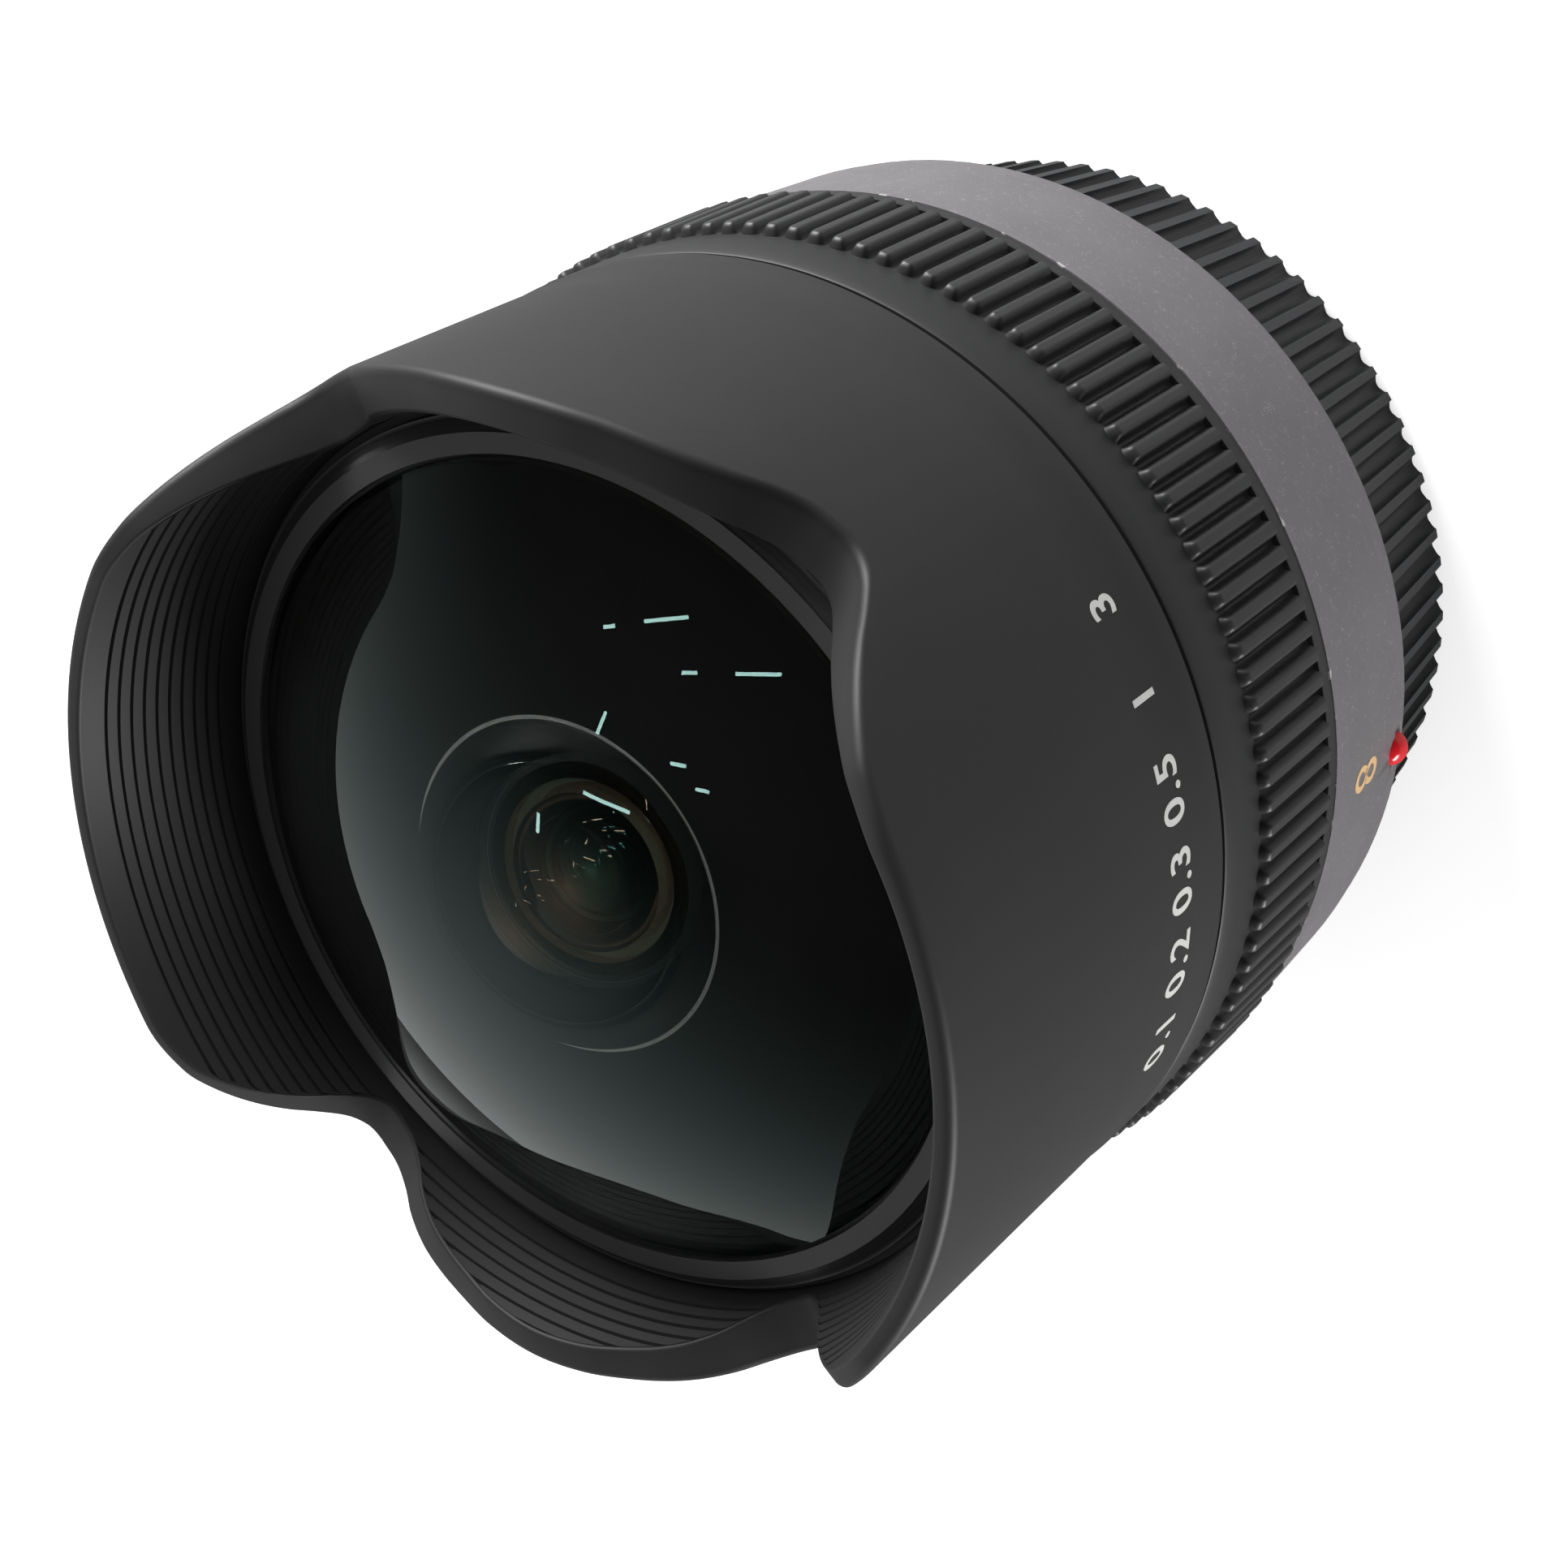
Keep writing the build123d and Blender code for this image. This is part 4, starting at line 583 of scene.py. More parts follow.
def spun(outline, steps):
    """Closed solid of revolution from an outline that starts and ends on the axis."""
    shell = bmesh.new()
    verts = [shell.verts.new((radius, 0, height)) for radius, height in outline]
    edges = [shell.edges.new(pair) for pair in zip(verts, verts[1:])]
    bmesh.ops.spin(
        shell, geom=verts + edges, cent=(0, 0, 0), axis=(0, 0, 1), angle=2 * pi, steps=steps,
        use_merge=True,
    )
    bmesh.ops.remove_doubles(shell, verts=shell.verts, dist=WELD)
    bmesh.ops.recalc_face_normals(shell, faces=shell.faces)
    return shell


class FISHEYE_OT_hood(bpy.types.Operator):
    """Hood with long and short petals, grooved inside, and the ring before the glass"""

    bl_idname = "fisheye.hood"
    bl_label = "Hood"

    columns = 480
    back_radius = 29.7 * MM
    part_line = 0.12 * MM
    crease_place = 1.7 * MM
    crease = 0.3 * MM
    rim_edge = 0.22 * MM
    wall_height = 9.5 * MM
    groove_start = 0.5 * MM
    groove_count = 10
    side_rows = 6
    round_steps = 8
    lip_steps = 4
    foot_radius = 26.93 * MM
    flange_thickness = 1.4 * MM
    seat_bore = 22.3 * MM
    glass_seat = 24.63 * MM
    glass_seat_depth = 0.5 * MM
    ring_seat = 25.83 * MM
    ring_seat_depth = 1.2 * MM
    flank = ((0, 1), (0.27, 0.915), (0.404, 0.798), (0.542, 0.628), (0.662, 0.436), (0.758, 0.245),
             (0.85, 0.085), (0.935, 0.011), (1, 0))
    hump = ((0, 0), (0.029, 0.01), (0.122, 0.073), (0.214, 0.227), (0.296, 0.418), (0.403, 0.6),
            (0.507, 0.718), (0.652, 0.836), (0.803, 0.945), (1, 1))

    def execute(self, context):
        size = sizes()
        low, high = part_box("hood_barrel")
        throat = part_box("front_glass_ring")[1].z
        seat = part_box("front_element")[0].z
        sections = []
        for column in range(self.columns):
            rim = self.rim(size, 2 * pi * column / self.columns, high.z)
            sections.append(self.section(size, low.z, seat, throat, rim))
        shell = polar_shell(sections)
        finished(
            shell, "hood", hood_coat(), "barrel", ("hood_barrel",), radians(32)
        )
        smooth_twin("front_glass_ring", glass_ring_coat(), "barrel")
        return {"FINISHED"}

    def rim(self, size, angle, petal_top):
        """Height of the rim at this angle around the lens."""
        from_petal = abs((degrees(angle) % 180) - 90)
        flat = degrees(size.petal_half_flat)
        notch = degrees(size.notch_angle)
        bottom = petal_top - size.notch_depth
        if from_petal <= flat:
            return petal_top
        if from_petal <= notch:
            share = self.between(self.flank, (from_petal - flat) / (notch - flat))
            return bottom + size.notch_depth * share
        share = self.between(self.hump, (from_petal - notch) / (90 - notch))
        return bottom + (size.notch_depth - size.side_petal_drop) * share

    def between(self, table, place):
        """Smooth curve through a table of (place, value) with level ends."""
        slopes = [0.0]
        for before, after in zip(table, table[2:]):
            slopes.append((after[1] - before[1]) / (after[0] - before[0]))
        slopes.append(0.0)
        for index, (start, end) in enumerate(zip(table, table[1:])):
            if place <= end[0] or end is table[-1]:
                span = end[0] - start[0]
                t = (place - start[0]) / span
                rise = start[1] * (2 * t**3 - 3 * t**2 + 1) + end[1] * (3 * t**2 - 2 * t**3)
                lean = slopes[index] * (t**3 - 2 * t**2 + t) + slopes[index + 1] * (t**3 - t**2)
                return rise + lean * span

    def section(self, size, back, seat, throat_height, rim):
        """Closed section of the hood at one angle, outside first, as radius and height."""
        outer = size.hood_radius
        edge = self.rim_edge
        crease_top = back + self.crease_place + self.crease
        points = [
            (self.foot_radius, back + self.part_line),
            (self.back_radius - self.part_line, back + self.part_line),
            (self.back_radius, back + 2 * self.part_line),
            (self.back_radius, back + self.crease_place),
        ]
        side_top = rim - size.rim_round
        for row in range(self.side_rows + 1):
            points.append((outer, crease_top + (side_top - crease_top) * row / self.side_rows))
        for turn in range(1, self.round_steps + 1):
            corner = turn * pi / (2 * self.round_steps)
            points.append((
                outer - size.rim_round * (1 - cos(corner)), side_top + size.rim_round * sin(corner),
            ))
        inner = self.inner_radius(size, throat_height, rim)
        for turn in range(self.lip_steps + 1):
            corner = turn * pi / (2 * self.lip_steps)
            points.append((inner + edge * (1 - sin(corner)), rim - edge * (1 - cos(corner))))
        for radius, height in self.grooves(size, throat_height):
            if height > rim - edge:
                height = rim - edge
                radius = self.inner_radius(size, throat_height, height)
            points.append((radius, height))
        return points + [
            (size.hood_throat, seat + self.ring_seat_depth),
            (self.ring_seat, seat + self.ring_seat_depth),
            (self.ring_seat, seat + self.glass_seat_depth),
            (self.glass_seat, seat + self.glass_seat_depth),
            (self.glass_seat, seat),
            (self.seat_bore, seat),
            (self.seat_bore, seat - self.flange_thickness),
            (self.foot_radius, seat - self.flange_thickness),
        ]

    def inner_radius(self, size, throat_height, height):
        """Radius of the flared inner wall at this height."""
        share = (height - throat_height) / self.wall_height
        return size.hood_throat + (size.hood_mouth - size.hood_throat) * share

    def grooves(self, size, throat_height):
        """Inner wall from its top groove down to the throat."""
        wall = []
        for number in reversed(range(self.groove_count)):
            low = throat_height + self.groove_start + number * size.groove_pitch
            high = low + size.groove_width
            wall.append((self.inner_radius(size, throat_height, high), high))
            wall.append((self.inner_radius(size, throat_height, high) + size.groove_depth, high))
            wall.append((self.inner_radius(size, throat_height, low) + size.groove_depth, low))
            wall.append((self.inner_radius(size, throat_height, low), low))
        return wall


class FISHEYE_OT_front_glass(bpy.types.Operator):
    """Large front glass, a dome over a deep bowl"""

    bl_idname = "fisheye.front_glass"
    bl_label = "Front glass"

    arc_steps = 40
    spin_steps = 160
    face_margin = 0.01 * MM
    bowl_slot = 1
    edge_slot = 2
    ground_slot = 3
    clear = (0.8, 0.88, 0.86)

    def execute(self, context):
        size = sizes()
        low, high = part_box("front_element")
        seat = low.z
        apex = high.z
        half = high.x
        bowl_top = apex - size.dome_thickness
        bowl_centre = bowl_top - size.bowl_curve
        bowl_radius = sqrt(size.bowl_curve**2 - (seat - bowl_centre) ** 2)
        shoulder = seat + size.shoulder_height
        dome_centre = apex - size.dome_curve
        outline = arc_points(dome_centre, size.dome_curve, size.dome_radius, self.arc_steps)
        outline += [(size.dome_radius, shoulder), (half, shoulder), (half, seat)]
        outline.append((bowl_radius + size.ground_edge, seat))
        outline += reversed(arc_points(bowl_centre, size.bowl_curve, bowl_radius, self.arc_steps))
        glass = spun(outline, self.spin_steps)
        for face in glass.faces:
            place = face.calc_center_median()
            if place.z < shoulder + self.face_margin and place.xy.length > bowl_radius:
                ground = place.xy.length < bowl_radius + size.ground_edge
                face.material_index = self.ground_slot if ground else self.edge_slot
            elif place.z < bowl_top and place.xy.length < bowl_radius:
                face.material_index = self.bowl_slot
        dome = coated_glass("dome_glass", self.clear, (0.54, 0.9, 0.84), 1.5, 0.65)
        bowl = coated_glass("bowl_glass", self.clear, (1.0, 0.66, 0.42), 1.5, 0.9)
        piece = finished(
            glass, "front_glass", dome, "barrel", ("front_element",), radians(20)
        )
        piece.data.materials.append(bowl)
        piece.data.materials.append(glare_black("glass_edge_black", 0.005, 0.7))
        piece.data.materials.append(plain_moulding("ground_glass", (0.42, 0.42, 0.4), 0.6))
        return {"FINISHED"}


class FISHEYE_OT_inner_glass(bpy.types.Operator):
    """Glass elements behind the front one"""

    bl_idname = "fisheye.inner_glass"
    bl_label = "Inner glass"

    def execute(self, context):
        warm = coated_glass("second_glass", (0.9, 0.9, 0.88), (0.95, 0.65, 0.45), 1.7, 0.3)
        green = coated_glass("inner_glass", (0.88, 0.93, 0.92), (0.35, 0.85, 0.75), 1.75, 0.6)
        smooth_twin("element_2", warm, "barrel")
        for number in (3, 4, 5, 6, 9, 10):
            smooth_twin(f"element_{number}", green, "barrel")
        for number in (7, 8):
            smooth_twin(f"element_{number}", green, "focus_carrier")
        return {"FINISHED"}


class FISHEYE_OT_focus_ring(bpy.types.Operator):
    """Ribbed focus ring, its encoder strip, and the nylon pieces"""

    bl_idname = "fisheye.focus_ring"
    bl_label = "Focus ring"

    ribs = 128
    rib_columns = 12
    nose = 0.4 * MM
    nose_sweep = 0.45 * MM
    nose_rows = 6
    nose_foot = 0.05 * MM
    rib_back_lean = 0.04 * MM
    lip_length = 0.14 * MM
    rib_slot = 0.2 * MM
    rear_band = 1.1 * MM
    rear_band_proud = 0.35 * MM
    rear_round = 0.2 * MM
    part_line = 0.13 * MM
    lip_round = 0.1 * MM
    end_bore = 28.93 * MM
    end_depth = 0.26 * MM
    bore = 28.0 * MM
    strip_groove = 28.33 * MM
    strip_groove_back = 1.8 * MM
    strip_groove_front = 4.8 * MM

    def section(self, size, back, front, rise, sweep):
        """Closed section of the ring where a rib stands out by rise and ends short by sweep."""
        base = size.ring_radius
        proud = base + self.rear_band_proud
        rear_edge = back + self.rear_band
        rib_back = rear_edge + self.rib_slot
        rib_front = rib_back + size.rib_length
        lip = front - self.part_line
        points = [
            (self.end_bore, back),
            (proud - self.rear_round, back),
            (proud, back + self.rear_round),
            (proud, rear_edge),
            (base, rear_edge),
            (base, rib_back),
            (base + rise, rib_back + self.rib_back_lean),
            (base + rise, rib_back + size.rib_length / 2),
        ]
        for row in range(self.nose_rows + 1):
            along = row / self.nose_rows
            height = rib_front - sweep - self.nose * (1 - along)
            points.append((base + rise * sqrt(1 - along**2), height))
        return points + [
            (base, rib_front + self.nose_foot),
            (base, (rib_front + front) / 2),
            (base, lip - self.lip_length),
            (base - self.lip_round, lip),
            (self.end_bore, lip),
            (self.end_bore, front - self.end_depth),
            (self.bore, front - self.end_depth),
            (self.bore, back + self.strip_groove_front),
            (self.strip_groove, back + self.strip_groove_front),
            (self.strip_groove, back + self.strip_groove_back),
            (self.bore, back + self.strip_groove_back),
            (self.bore, back + self.end_depth),
            (self.end_bore, back + self.end_depth),
        ]

    def execute(self, context):
        size = sizes()
        low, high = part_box("focus_ring")
        steps = self.ribs * self.rib_columns
        pitch = 2 * pi * size.ring_radius / self.ribs
        sections = []
        for column in range(steps):
            aside = (column % self.rib_columns) / self.rib_columns
            aside = abs((aside + 0.5) % 1 - 0.5) * pitch
            slope = min(max((size.rib_foot - aside) / (size.rib_foot - size.rib_crest), 0), 1)
            rise = size.rib_height * slope * slope * (3 - 2 * slope)
            sweep = self.nose_sweep * (1 - sqrt(1 - min(aside / size.rib_foot, 1) ** 2))
            sections.append(self.section(size, low.z, high.z, rise, sweep))
        finished(
            polar_shell(sections), "grip_ring", ring_plastic(), "focus_ring",
            ("focus_ring",), radians(48),
        )
        dress(bright_metal("encoder_steel", (0.55, 0.55, 0.56)), "encoder_strip")
        nylon = plain_moulding("slip_nylon", (0.75, 0.75, 0.7), 0.35)
        dress(nylon, "washer_back", "washer_front", "carrier_nut", "iris_ring")
        return {"FINISHED"}


class FISHEYE_OT_silver_band(bpy.types.Operator):
    """Silver barrel and its red index dot"""

    bl_idname = "fisheye.silver_band"
    bl_label = "Silver band"

    dot_place = 1.3 * MM
    beside_dot = radians(6)
    arc_steps = 12
    spin_steps = 48

    def execute(self, context):
        smooth_twin("silver_barrel", silver_paint(), "barrel")
        self.index_dot(sizes())
        return {"FINISHED"}

    def index_dot(self, size):
        """Domed red dot whose edge lies level with the band beside it."""
        enamel = Finish("dot_enamel", tuple(colours().dot), roughness=0.16)
        enamel.set("Roughness", 0.12 + 0.1 * enamel.noise(0.3 * MM))
        low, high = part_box("index_dot")
        back_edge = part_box("silver_barrel")[0].z
        seat = on_surface("silver_barrel", pi / 2 + self.beside_dot, back_edge + self.dot_place)
        curve = (size.dot_radius**2 + size.dot_proud**2) / (2 * size.dot_proud)
        head = arc_points(size.dot_proud - curve, curve, size.dot_radius, self.arc_steps)
        foot = low.y - seat
        dot = spun(head + [(size.dot_radius, foot), (0, foot)], self.spin_steps)
        outward = Matrix.Rotation(-pi / 2, 4, "X")
        place = Matrix.Translation((0, seat, (low.z + high.z) / 2)) @ outward
        bmesh.ops.transform(dot, matrix=place, verts=dot.verts)
        finished(
            dot, "index_dot_enamel", enamel.material, "barrel", ("index_dot",), radians(40)
        )


class FISHEYE_OT_numbers(bpy.types.Operator):
    """White scale numbers on the hood and the orange number on the band"""

    bl_idname = "fisheye.numbers"
    bl_label = "Numbers"

    scale_numbers = ("0.1", "0.2", "0.3", "0.5", "1", "3")
    scale_start = radians(78)
    scale_pitch = radians(9.8)
    digit_share = 0.7
    spacing = 1.12
    boldness = 0.045 * MM
    eight_lower_share = 0.28
    eight_width_share = 0.95
    eight_steps = 48

    def execute(self, context):
        white = plain_moulding("scale_ink", tuple(colours().scale), 0.5)
        for index, number in enumerate(self.scale_numbers):
            angle = self.scale_start + index * self.scale_pitch
            self.printed(f"scale_number_{index + 1}", number, angle, white)
        orange = plain_moulding("number_ink", tuple(colours().number), 0.4)
        self.looped_eight(orange)
        return {"FINISHED"}

    def printed(self, name, text, angle, material):
        """Number as a thin raised print on the hood."""
        size = sizes()
        line = bpy.data.curves.new(name, "FONT")
        line.body = text
        line.size = size.scale_digit / self.digit_share
        line.align_x = "CENTER"
        line.space_character = self.spacing
        line.offset = self.boldness
        line.extrude = size.ink
        line.resolution_u = 6
        holder = bpy.data.objects.new(name, line)
        print_shell = bmesh.new()
        print_shell.from_mesh(bpy.data.meshes.new_from_object(holder))
        bpy.data.objects.remove(holder)
        bmesh.ops.remove_doubles(print_shell, verts=print_shell.verts, dist=WELD)
        wrapped(print_shell, "hood_barrel", angle, size.scale_height)
        finished(print_shell, name, material, "barrel")

    def looped_eight(self, material):
        """The digit 8 drawn with an even stroke: a small loop over a larger one."""
        size = sizes()
        stroke = size.stroke
        lower = self.eight_lower_share * size.band_digit
        upper = (size.band_digit + stroke) / 2 - lower
        digit = bmesh.new()
        self.loop(digit, lower, lower - size.band_digit / 2, stroke)
        self.loop(digit, upper, size.band_digit / 2 - upper, stroke)
        wrapped(digit, "silver_barrel", size.band_digit_angle, size.band_digit_height)
        finished(digit, "band_number", material, "barrel", (), radians(30))

    def loop(self, digit, radius, middle, stroke):
        """Flat ring of one stroke, raised by the ink's thickness."""
        narrow = Matrix.Diagonal((self.eight_width_share, 1, 1, 1))
        place = Matrix.Translation((0, middle, 0)) @ narrow
        verts = []
        for reach in (radius, radius - stroke):
            verts += bmesh.ops.create_circle(
                digit, segments=self.eight_steps, radius=reach, matrix=place
            )["verts"]
        rims = {edge for vert in verts for edge in vert.link_edges}
        faces = bmesh.ops.bridge_loops(digit, edges=list(rims))["faces"]
        raised = bmesh.ops.extrude_face_region(digit, geom=faces)["geom"]
        tops = [item for item in raised if isinstance(item, bmesh.types.BMVert)]
        bmesh.ops.translate(digit, vec=(0, 0, sizes().ink), verts=tops)


class FISHEYE_OT_rear(bpy.types.Operator):
    """Rear cap, bayonet mount, contacts, baffle and filter frame"""

    bl_idname = "fisheye.rear"
    bl_label = "Rear cap and mount"

    def execute(self, context):
        smooth_twin("rear_cap", cap_plastic(), "rear_cap")
        chrome = bright_metal("mount_chrome", (0.72, 0.72, 0.72), 0.2)
        smooth_twin("bayonet_mount", chrome, "barrel")
        dress(bright_metal("screw_steel", (0.5, 0.5, 0.51), 0.3), "mount_screws", "barrel_screws")
        dress(bright_metal("contact_gold", (0.83, 0.6, 0.25), 0.2), "contact_pins")
        dress(glare_black("contact_black", 0.018, 0.4), "contact_block")
        dress(glare_black("baffle_black", 0.022, 0.5), "rear_baffle", "filter_holder")
        return {"FINISHED"}


class FISHEYE_OT_works(bpy.types.Operator):
    """Everything inside: cells, chassis, iris, focus drive and circuit board"""

    bl_idname = "fisheye.works"
    bl_label = "Inner works"

    def execute(self, context):
        cell = glare_black("cell_black", 0.012, 0.5)
        dress(
            cell, "front_cell", "spacer_2_3", "spacer_3_4", "spacer_4_5", "rear_cell",
            "rear_cell_ring", "focus_carrier", "iris_base", "iris_cover", "front_seal",
        )
        dress(glare_black("chassis_black", 0.03, 0.6), "chassis_tube")
        blades = [name for name in NODES if name.startswith("iris_blade")]
        dress(glare_black("blade_black", 0.03, 0.35), *blades)
        steel = bright_metal("rod_steel", (0.6, 0.6, 0.6), 0.22)
        dress(
            steel, "main_rod", "side_rod", "lead_screw", "focus_motor", "iris_motor", "cell_screws",
            "iris_screws",
        )
        dress(bright_metal("pinion_brass", (0.75, 0.55, 0.25), 0.25), "iris_pinion")
        dress(plain_moulding("board_green", (0.03, 0.17, 0.08), 0.35), "main_board", "ring_sensor")
        dress(plain_moulding("flex_film", (0.45, 0.2, 0.05), 0.3), "flex_cable")
        return {"FINISHED"}


class FISHEYE_OT_stage(bpy.types.Operator):
    """White floor, soft lamps and the camera at the photograph's angle"""

    bl_idname = "fisheye.stage"
    bl_label = "Stage"

    photo_width = 1932
    focal_pixels = 3400
    sensor = 36.0
    camera_place = (-76.284, 81.923, 141.039)
    camera_turn = (-28.4384, 35.0883, 90.7067)
    near_clip = 0.005
    floor_half = 1.5
    floor_gap = 0.02 * MM
    paper_white = (0.85, 0.85, 0.85)
    paper_in_gloss = (0.42, 0.42, 0.42)
    paper_in_glass = (0.1, 0.1, 0.1)
    paper_glow = (0.6, 0.6, 0.6)
    soft_light = 0.24
    bright_side = (0.75, -0.65, 0.0)
    bright_start = 0.05
    bright_level = 0.95
    dark_level = 0.012
    dimmed_in_glass = 0.8
    brown_side = (0.62, -0.5, 0.6)
    brown_focus = 10.0
    brown_light = (0.36, 0.23, 0.15)
    lens_middle = (0.0, 0.0, 20 * MM)
    dome_place = (-8 * MM, 3 * MM, 47 * MM)
    tube_distance = 1.5
    tube_width = 0.016
    tube_radiance = 16.0
    level = (-0.01010, 0.81821, -0.57484)
    slanted = (-0.62, 0.37, -0.68)
    tubes = (
        ((-0.430, -0.185, 0.883), level, 0.2),
        ((-0.354, -0.342, 0.870), level, 0.055),
        ((-0.326, -0.079, 0.942), level, 0.07),
        ((-0.370, 0.116, 0.922), level, 0.2),
        ((-0.121, -0.304, 0.945), slanted, 0.1),
        ((0.200, -0.447, 0.872), slanted, 0.08),
        ((0.081, -0.258, 0.963), level, 0.22),
        ((-0.081, -0.062, 0.995), level, 0.07),
        ((-0.028, 0.016, 0.999), level, 0.06),
    )

    def execute(self, context):
        self.camera()
        self.floor()
        self.world()
        self.lamp(
            "left_panel", azimuth=212, elevation=12, distance=0.5, size=(0.24, 0.3), radiance=19.0
        )
        self.lamp(
            "right_panel", azimuth=48, elevation=5, distance=0.5, size=(0.12, 0.3), radiance=21.0
        )
        self.lamp(
            "high_fill", azimuth=215, elevation=34, distance=0.6, size=(0.3, 0.3), radiance=2.6,
            glossy=False,
        )
        for number, (away, long_axis, length) in enumerate(self.tubes):
            self.tube(f"tube_{number + 1}", Vector(away), long_axis, length)
        return {"FINISHED"}

    def camera(self):
        view = bpy.data.cameras.new("camera")
        view.sensor_width = self.sensor
        view.lens = self.sensor * self.focal_pixels / self.photo_width
        view.clip_start = self.near_clip
        holder = bpy.data.objects.new("camera", view)
        holder.location = Vector(self.camera_place) * MM
        holder.rotation_euler = Euler([radians(angle) for angle in self.camera_turn])
        bpy.context.scene.collection.objects.link(holder)
        bpy.context.scene.camera = holder

    def floor(self):
        plate = bmesh.new()
        bmesh.ops.create_grid(plate, x_segments=1, y_segments=1, size=self.floor_half)
        ground = CAD_BOX[0][2] - self.floor_gap
        bmesh.ops.translate(plate, vec=(0, 0, ground), verts=plate.verts)
        mesh = bpy.data.meshes.new("floor")
        plate.to_mesh(mesh)
        plate.free()
        floor = bpy.data.objects.new("floor", mesh)
        bpy.context.scene.collection.objects.link(floor)
        paper = Finish("floor_white", self.paper_white, roughness=0.9)
        seen = paper.node("ShaderNodeLightPath", output="Is Camera Ray")
        through = paper.node("ShaderNodeLightPath", output="Is Transmission Ray")
        mirrored = paper.node("ShaderNodeLightPath", output="Is Glossy Ray")
        matte = paper.mix(mirrored, self.paper_white, self.paper_in_gloss)
        paper.set("Base Color", paper.mix(through, matte, self.paper_in_glass))
        paper.surface.inputs["Emission Strength"].default_value = 1.0
        paper.set("Emission Color", paper.mix(seen, (0.0, 0.0, 0.0), self.paper_glow))
        mesh.materials.append(paper.material)

    def world(self):
        """White to the camera, soft and even as light, dark in glass but for two sides.

        The dome mirrors the bright side, and the bowl behind it mirrors the brown one.
        """
        sky = bpy.data.worlds.new("studio")
        sky.use_nodes = True
        bpy.context.scene.world = sky
        nodes = sky.node_tree.nodes
        links = sky.node_tree.links

        def maths(operation, first, second):
            added = nodes.new("ShaderNodeMath")
            added.operation = operation
            added.use_clamp = operation == "MULTIPLY_ADD"
            for socket, value in zip(added.inputs, (first, second, 0.0)):
                if isinstance(value, float):
                    socket.default_value = value
                else:
                    links.new(value, socket)
            return added.outputs[0]

        toward = nodes.new("ShaderNodeTexCoord")

        def leaning(side):
            lean = nodes.new("ShaderNodeVectorMath")
            lean.operation = "DOT_PRODUCT"
            lean.inputs[1].default_value = Vector(side).normalized()
            links.new(toward.outputs["Generated"], lean.inputs[0])
            return lean.outputs["Value"]

        toward_bright = maths("SUBTRACT", leaning(self.bright_side), self.bright_start)
        facing = maths("MULTIPLY_ADD", toward_bright, 1 + self.bright_start)
        bright = maths("MULTIPLY", maths("POWER", facing, 2.0), self.bright_level)
        path = nodes.new("ShaderNodeLightPath")
        through = path.outputs["Is Transmission Ray"]
        kept = maths("SUBTRACT", 1.0, maths("MULTIPLY", through, self.dimmed_in_glass))
        mirrored = maths("MULTIPLY", maths("ADD", bright, self.dark_level), kept)
        scattered = maths("MINIMUM", path.outputs["Diffuse Depth"], 1.0)
        diffuse = maths("MULTIPLY", scattered, self.soft_light)
        shown = maths("ADD", mirrored, diffuse)
        toward_brown = maths("MAXIMUM", leaning(self.brown_side), 0.0)
        lobe = maths("POWER", toward_brown, self.brown_focus)
        warm = nodes.new("ShaderNodeMix")
        warm.data_type = "RGBA"
        warm.blend_type = "ADD"
        warm.inputs[7].default_value = (*self.brown_light, 1)
        links.new(maths("MULTIPLY", lobe, through), warm.inputs[0])
        links.new(shown, warm.inputs[6])
        choice = nodes.new("ShaderNodeMix")
        choice.data_type = "RGBA"
        choice.inputs[7].default_value = (1, 1, 1, 1)
        links.new(path.outputs["Is Camera Ray"], choice.inputs[0])
        links.new(warm.outputs[2], choice.inputs[6])
        links.new(choice.outputs[2], nodes["Background"].inputs["Color"])

    def tube(self, name, away, long_axis, length):
        """Narrow strip lamp far off, which the dome mirrors as a short bright dash."""
        lamp = bpy.data.lights.new(name, "AREA")
        lamp.shape = "RECTANGLE"
        lamp.size = length
        lamp.size_y = self.tube_width
        lamp.energy = self.tube_radiance * pi * length * self.tube_width
        holder = bpy.data.objects.new(name, lamp)
        along = Vector(long_axis)
        along = (along - along.dot(away) * away).normalized()
        turn = Matrix((along, away.cross(along), away)).transposed()
        holder.location = Vector(self.dome_place) + away * self.tube_distance
        holder.rotation_euler = turn.to_euler()
        bpy.context.scene.collection.objects.link(holder)

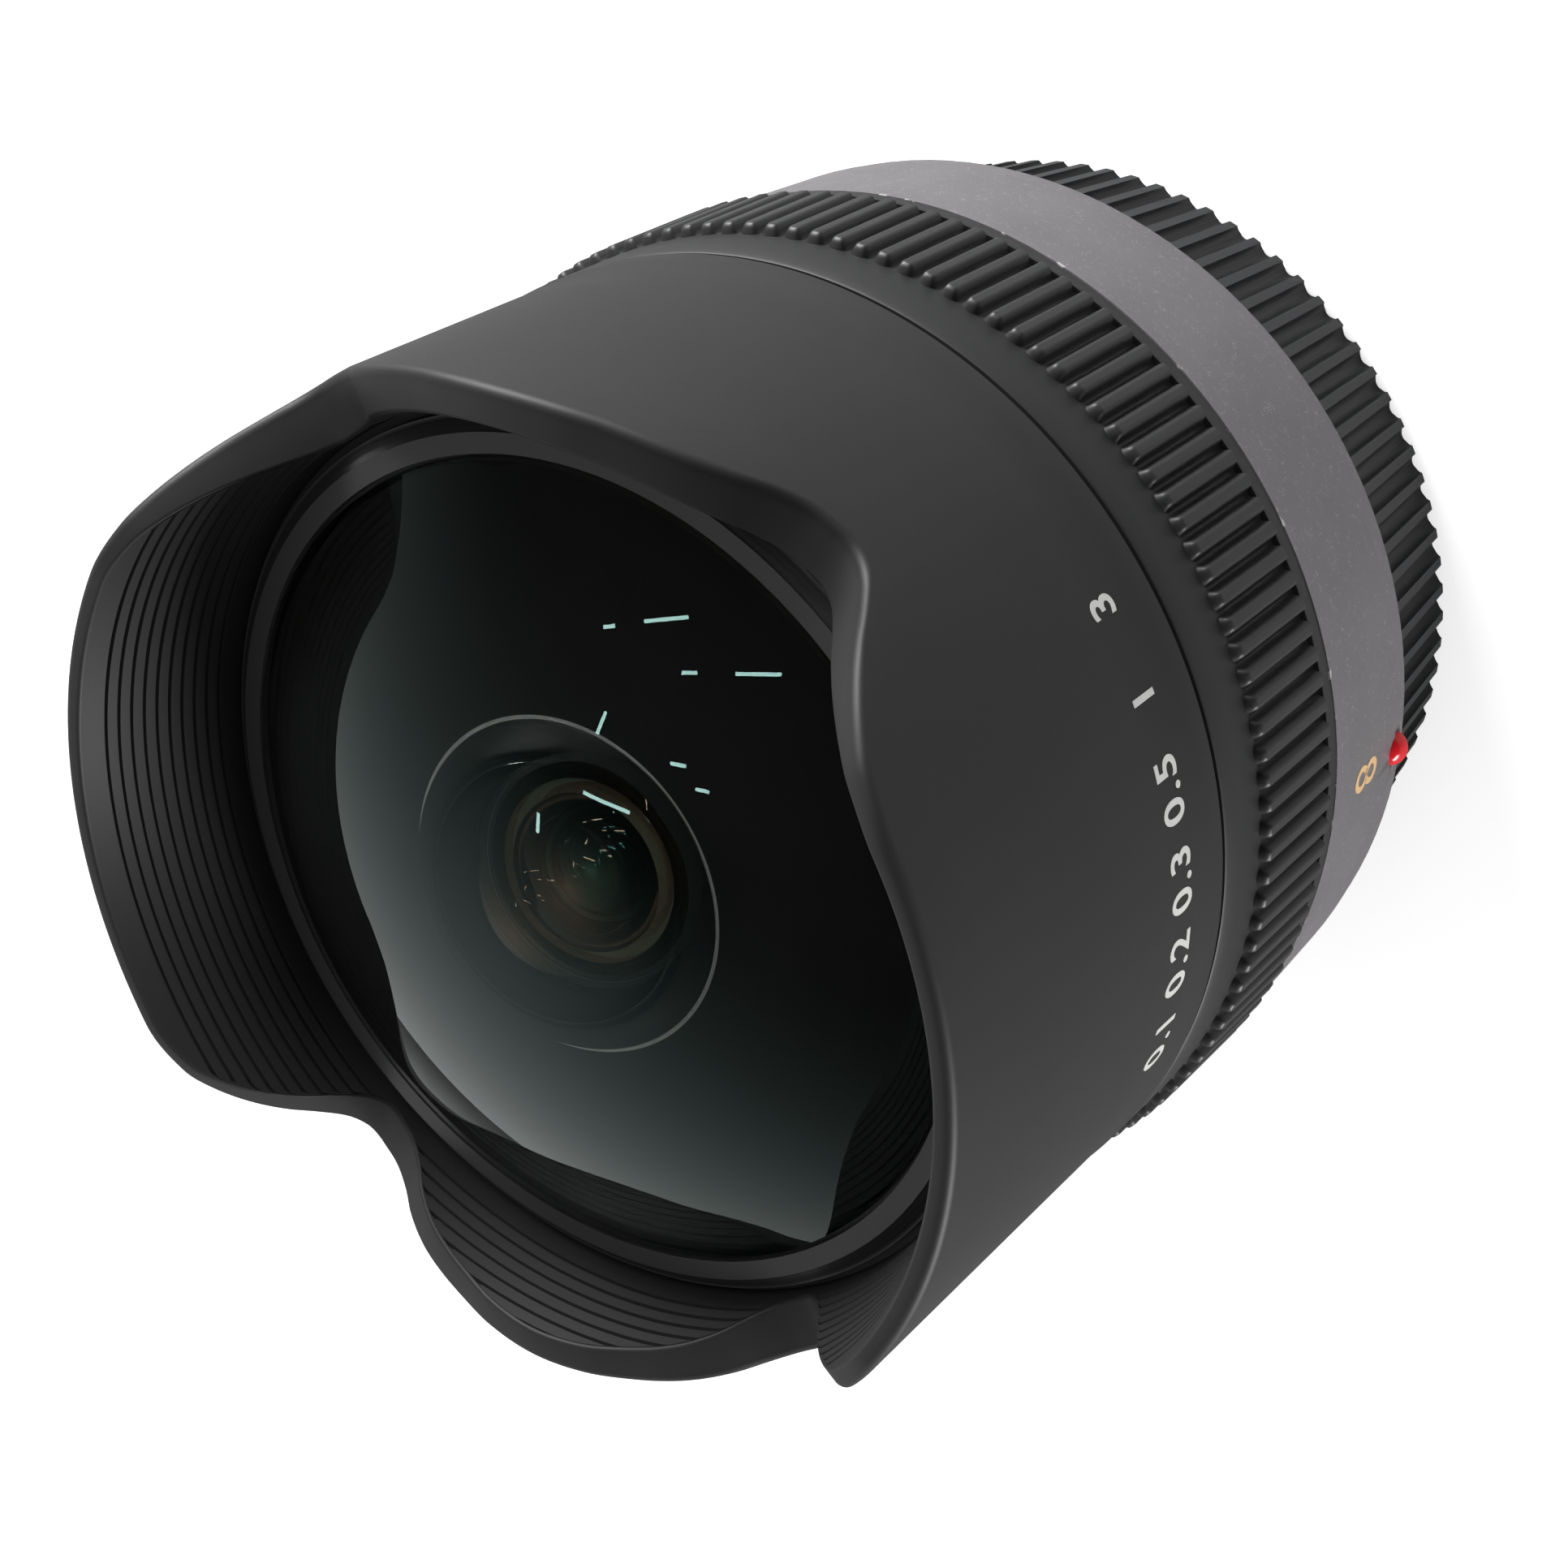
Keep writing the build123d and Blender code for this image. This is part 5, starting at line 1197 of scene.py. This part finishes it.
    def lamp(self, name, azimuth, elevation, distance, size, radiance, glossy=True):
        """Area lamp that looks at the lens; its power follows from its size and brightness."""
        lamp = bpy.data.lights.new(name, "AREA")
        lamp.shape = "RECTANGLE"
        lamp.size, lamp.size_y = size
        lamp.energy = radiance * pi * size[0] * size[1]
        holder = bpy.data.objects.new(name, lamp)
        turn = Euler((0, radians(90 - elevation), radians(azimuth)))
        holder.location = Vector(self.lens_middle) + turn.to_matrix() @ Vector((0, 0, distance))
        holder.rotation_euler = turn
        holder.visible_transmission = False
        holder.visible_glossy = glossy
        bpy.context.scene.collection.objects.link(holder)


class FISHEYE_PT_panel(bpy.types.Panel):
    """Lists the pieces, the sizes and the colours"""

    bl_idname = "FISHEYE_PT_panel"
    bl_label = "Fisheye Lens"
    bl_space_type = "VIEW_3D"
    bl_region_type = "UI"
    bl_category = "Fisheye Lens"

    def draw(self, context):
        for step in STEPS:
            self.layout.operator(step.bl_idname)
        for group in (sizes(), colours()):
            for name in group.bl_rna.properties.keys():
                if name not in ("rna_type", "name"):
                    self.layout.prop(group, name)


STEPS = (
    FISHEYE_OT_hood,
    FISHEYE_OT_front_glass,
    FISHEYE_OT_inner_glass,
    FISHEYE_OT_focus_ring,
    FISHEYE_OT_silver_band,
    FISHEYE_OT_numbers,
    FISHEYE_OT_rear,
    FISHEYE_OT_works,
    FISHEYE_OT_stage,
)
CLASSES = (FisheyeSizes, FisheyeColours, *STEPS, FISHEYE_PT_panel)


def register():
    for entry in CLASSES:
        bpy.utils.register_class(entry)
    bpy.types.Scene.fisheye_sizes = PointerProperty(type=FisheyeSizes)
    bpy.types.Scene.fisheye_colours = PointerProperty(type=FisheyeColours)


def unregister():
    del bpy.types.Scene.fisheye_colours
    del bpy.types.Scene.fisheye_sizes
    for entry in reversed(CLASSES):
        bpy.utils.unregister_class(entry)


def main():
    register()
    for step in STEPS:
        group, name = step.bl_idname.split(".")
        getattr(getattr(bpy.ops, group), name)()
    bpy.context.scene.view_settings.view_transform = "Standard"


if __name__ == "__main__":
    main()
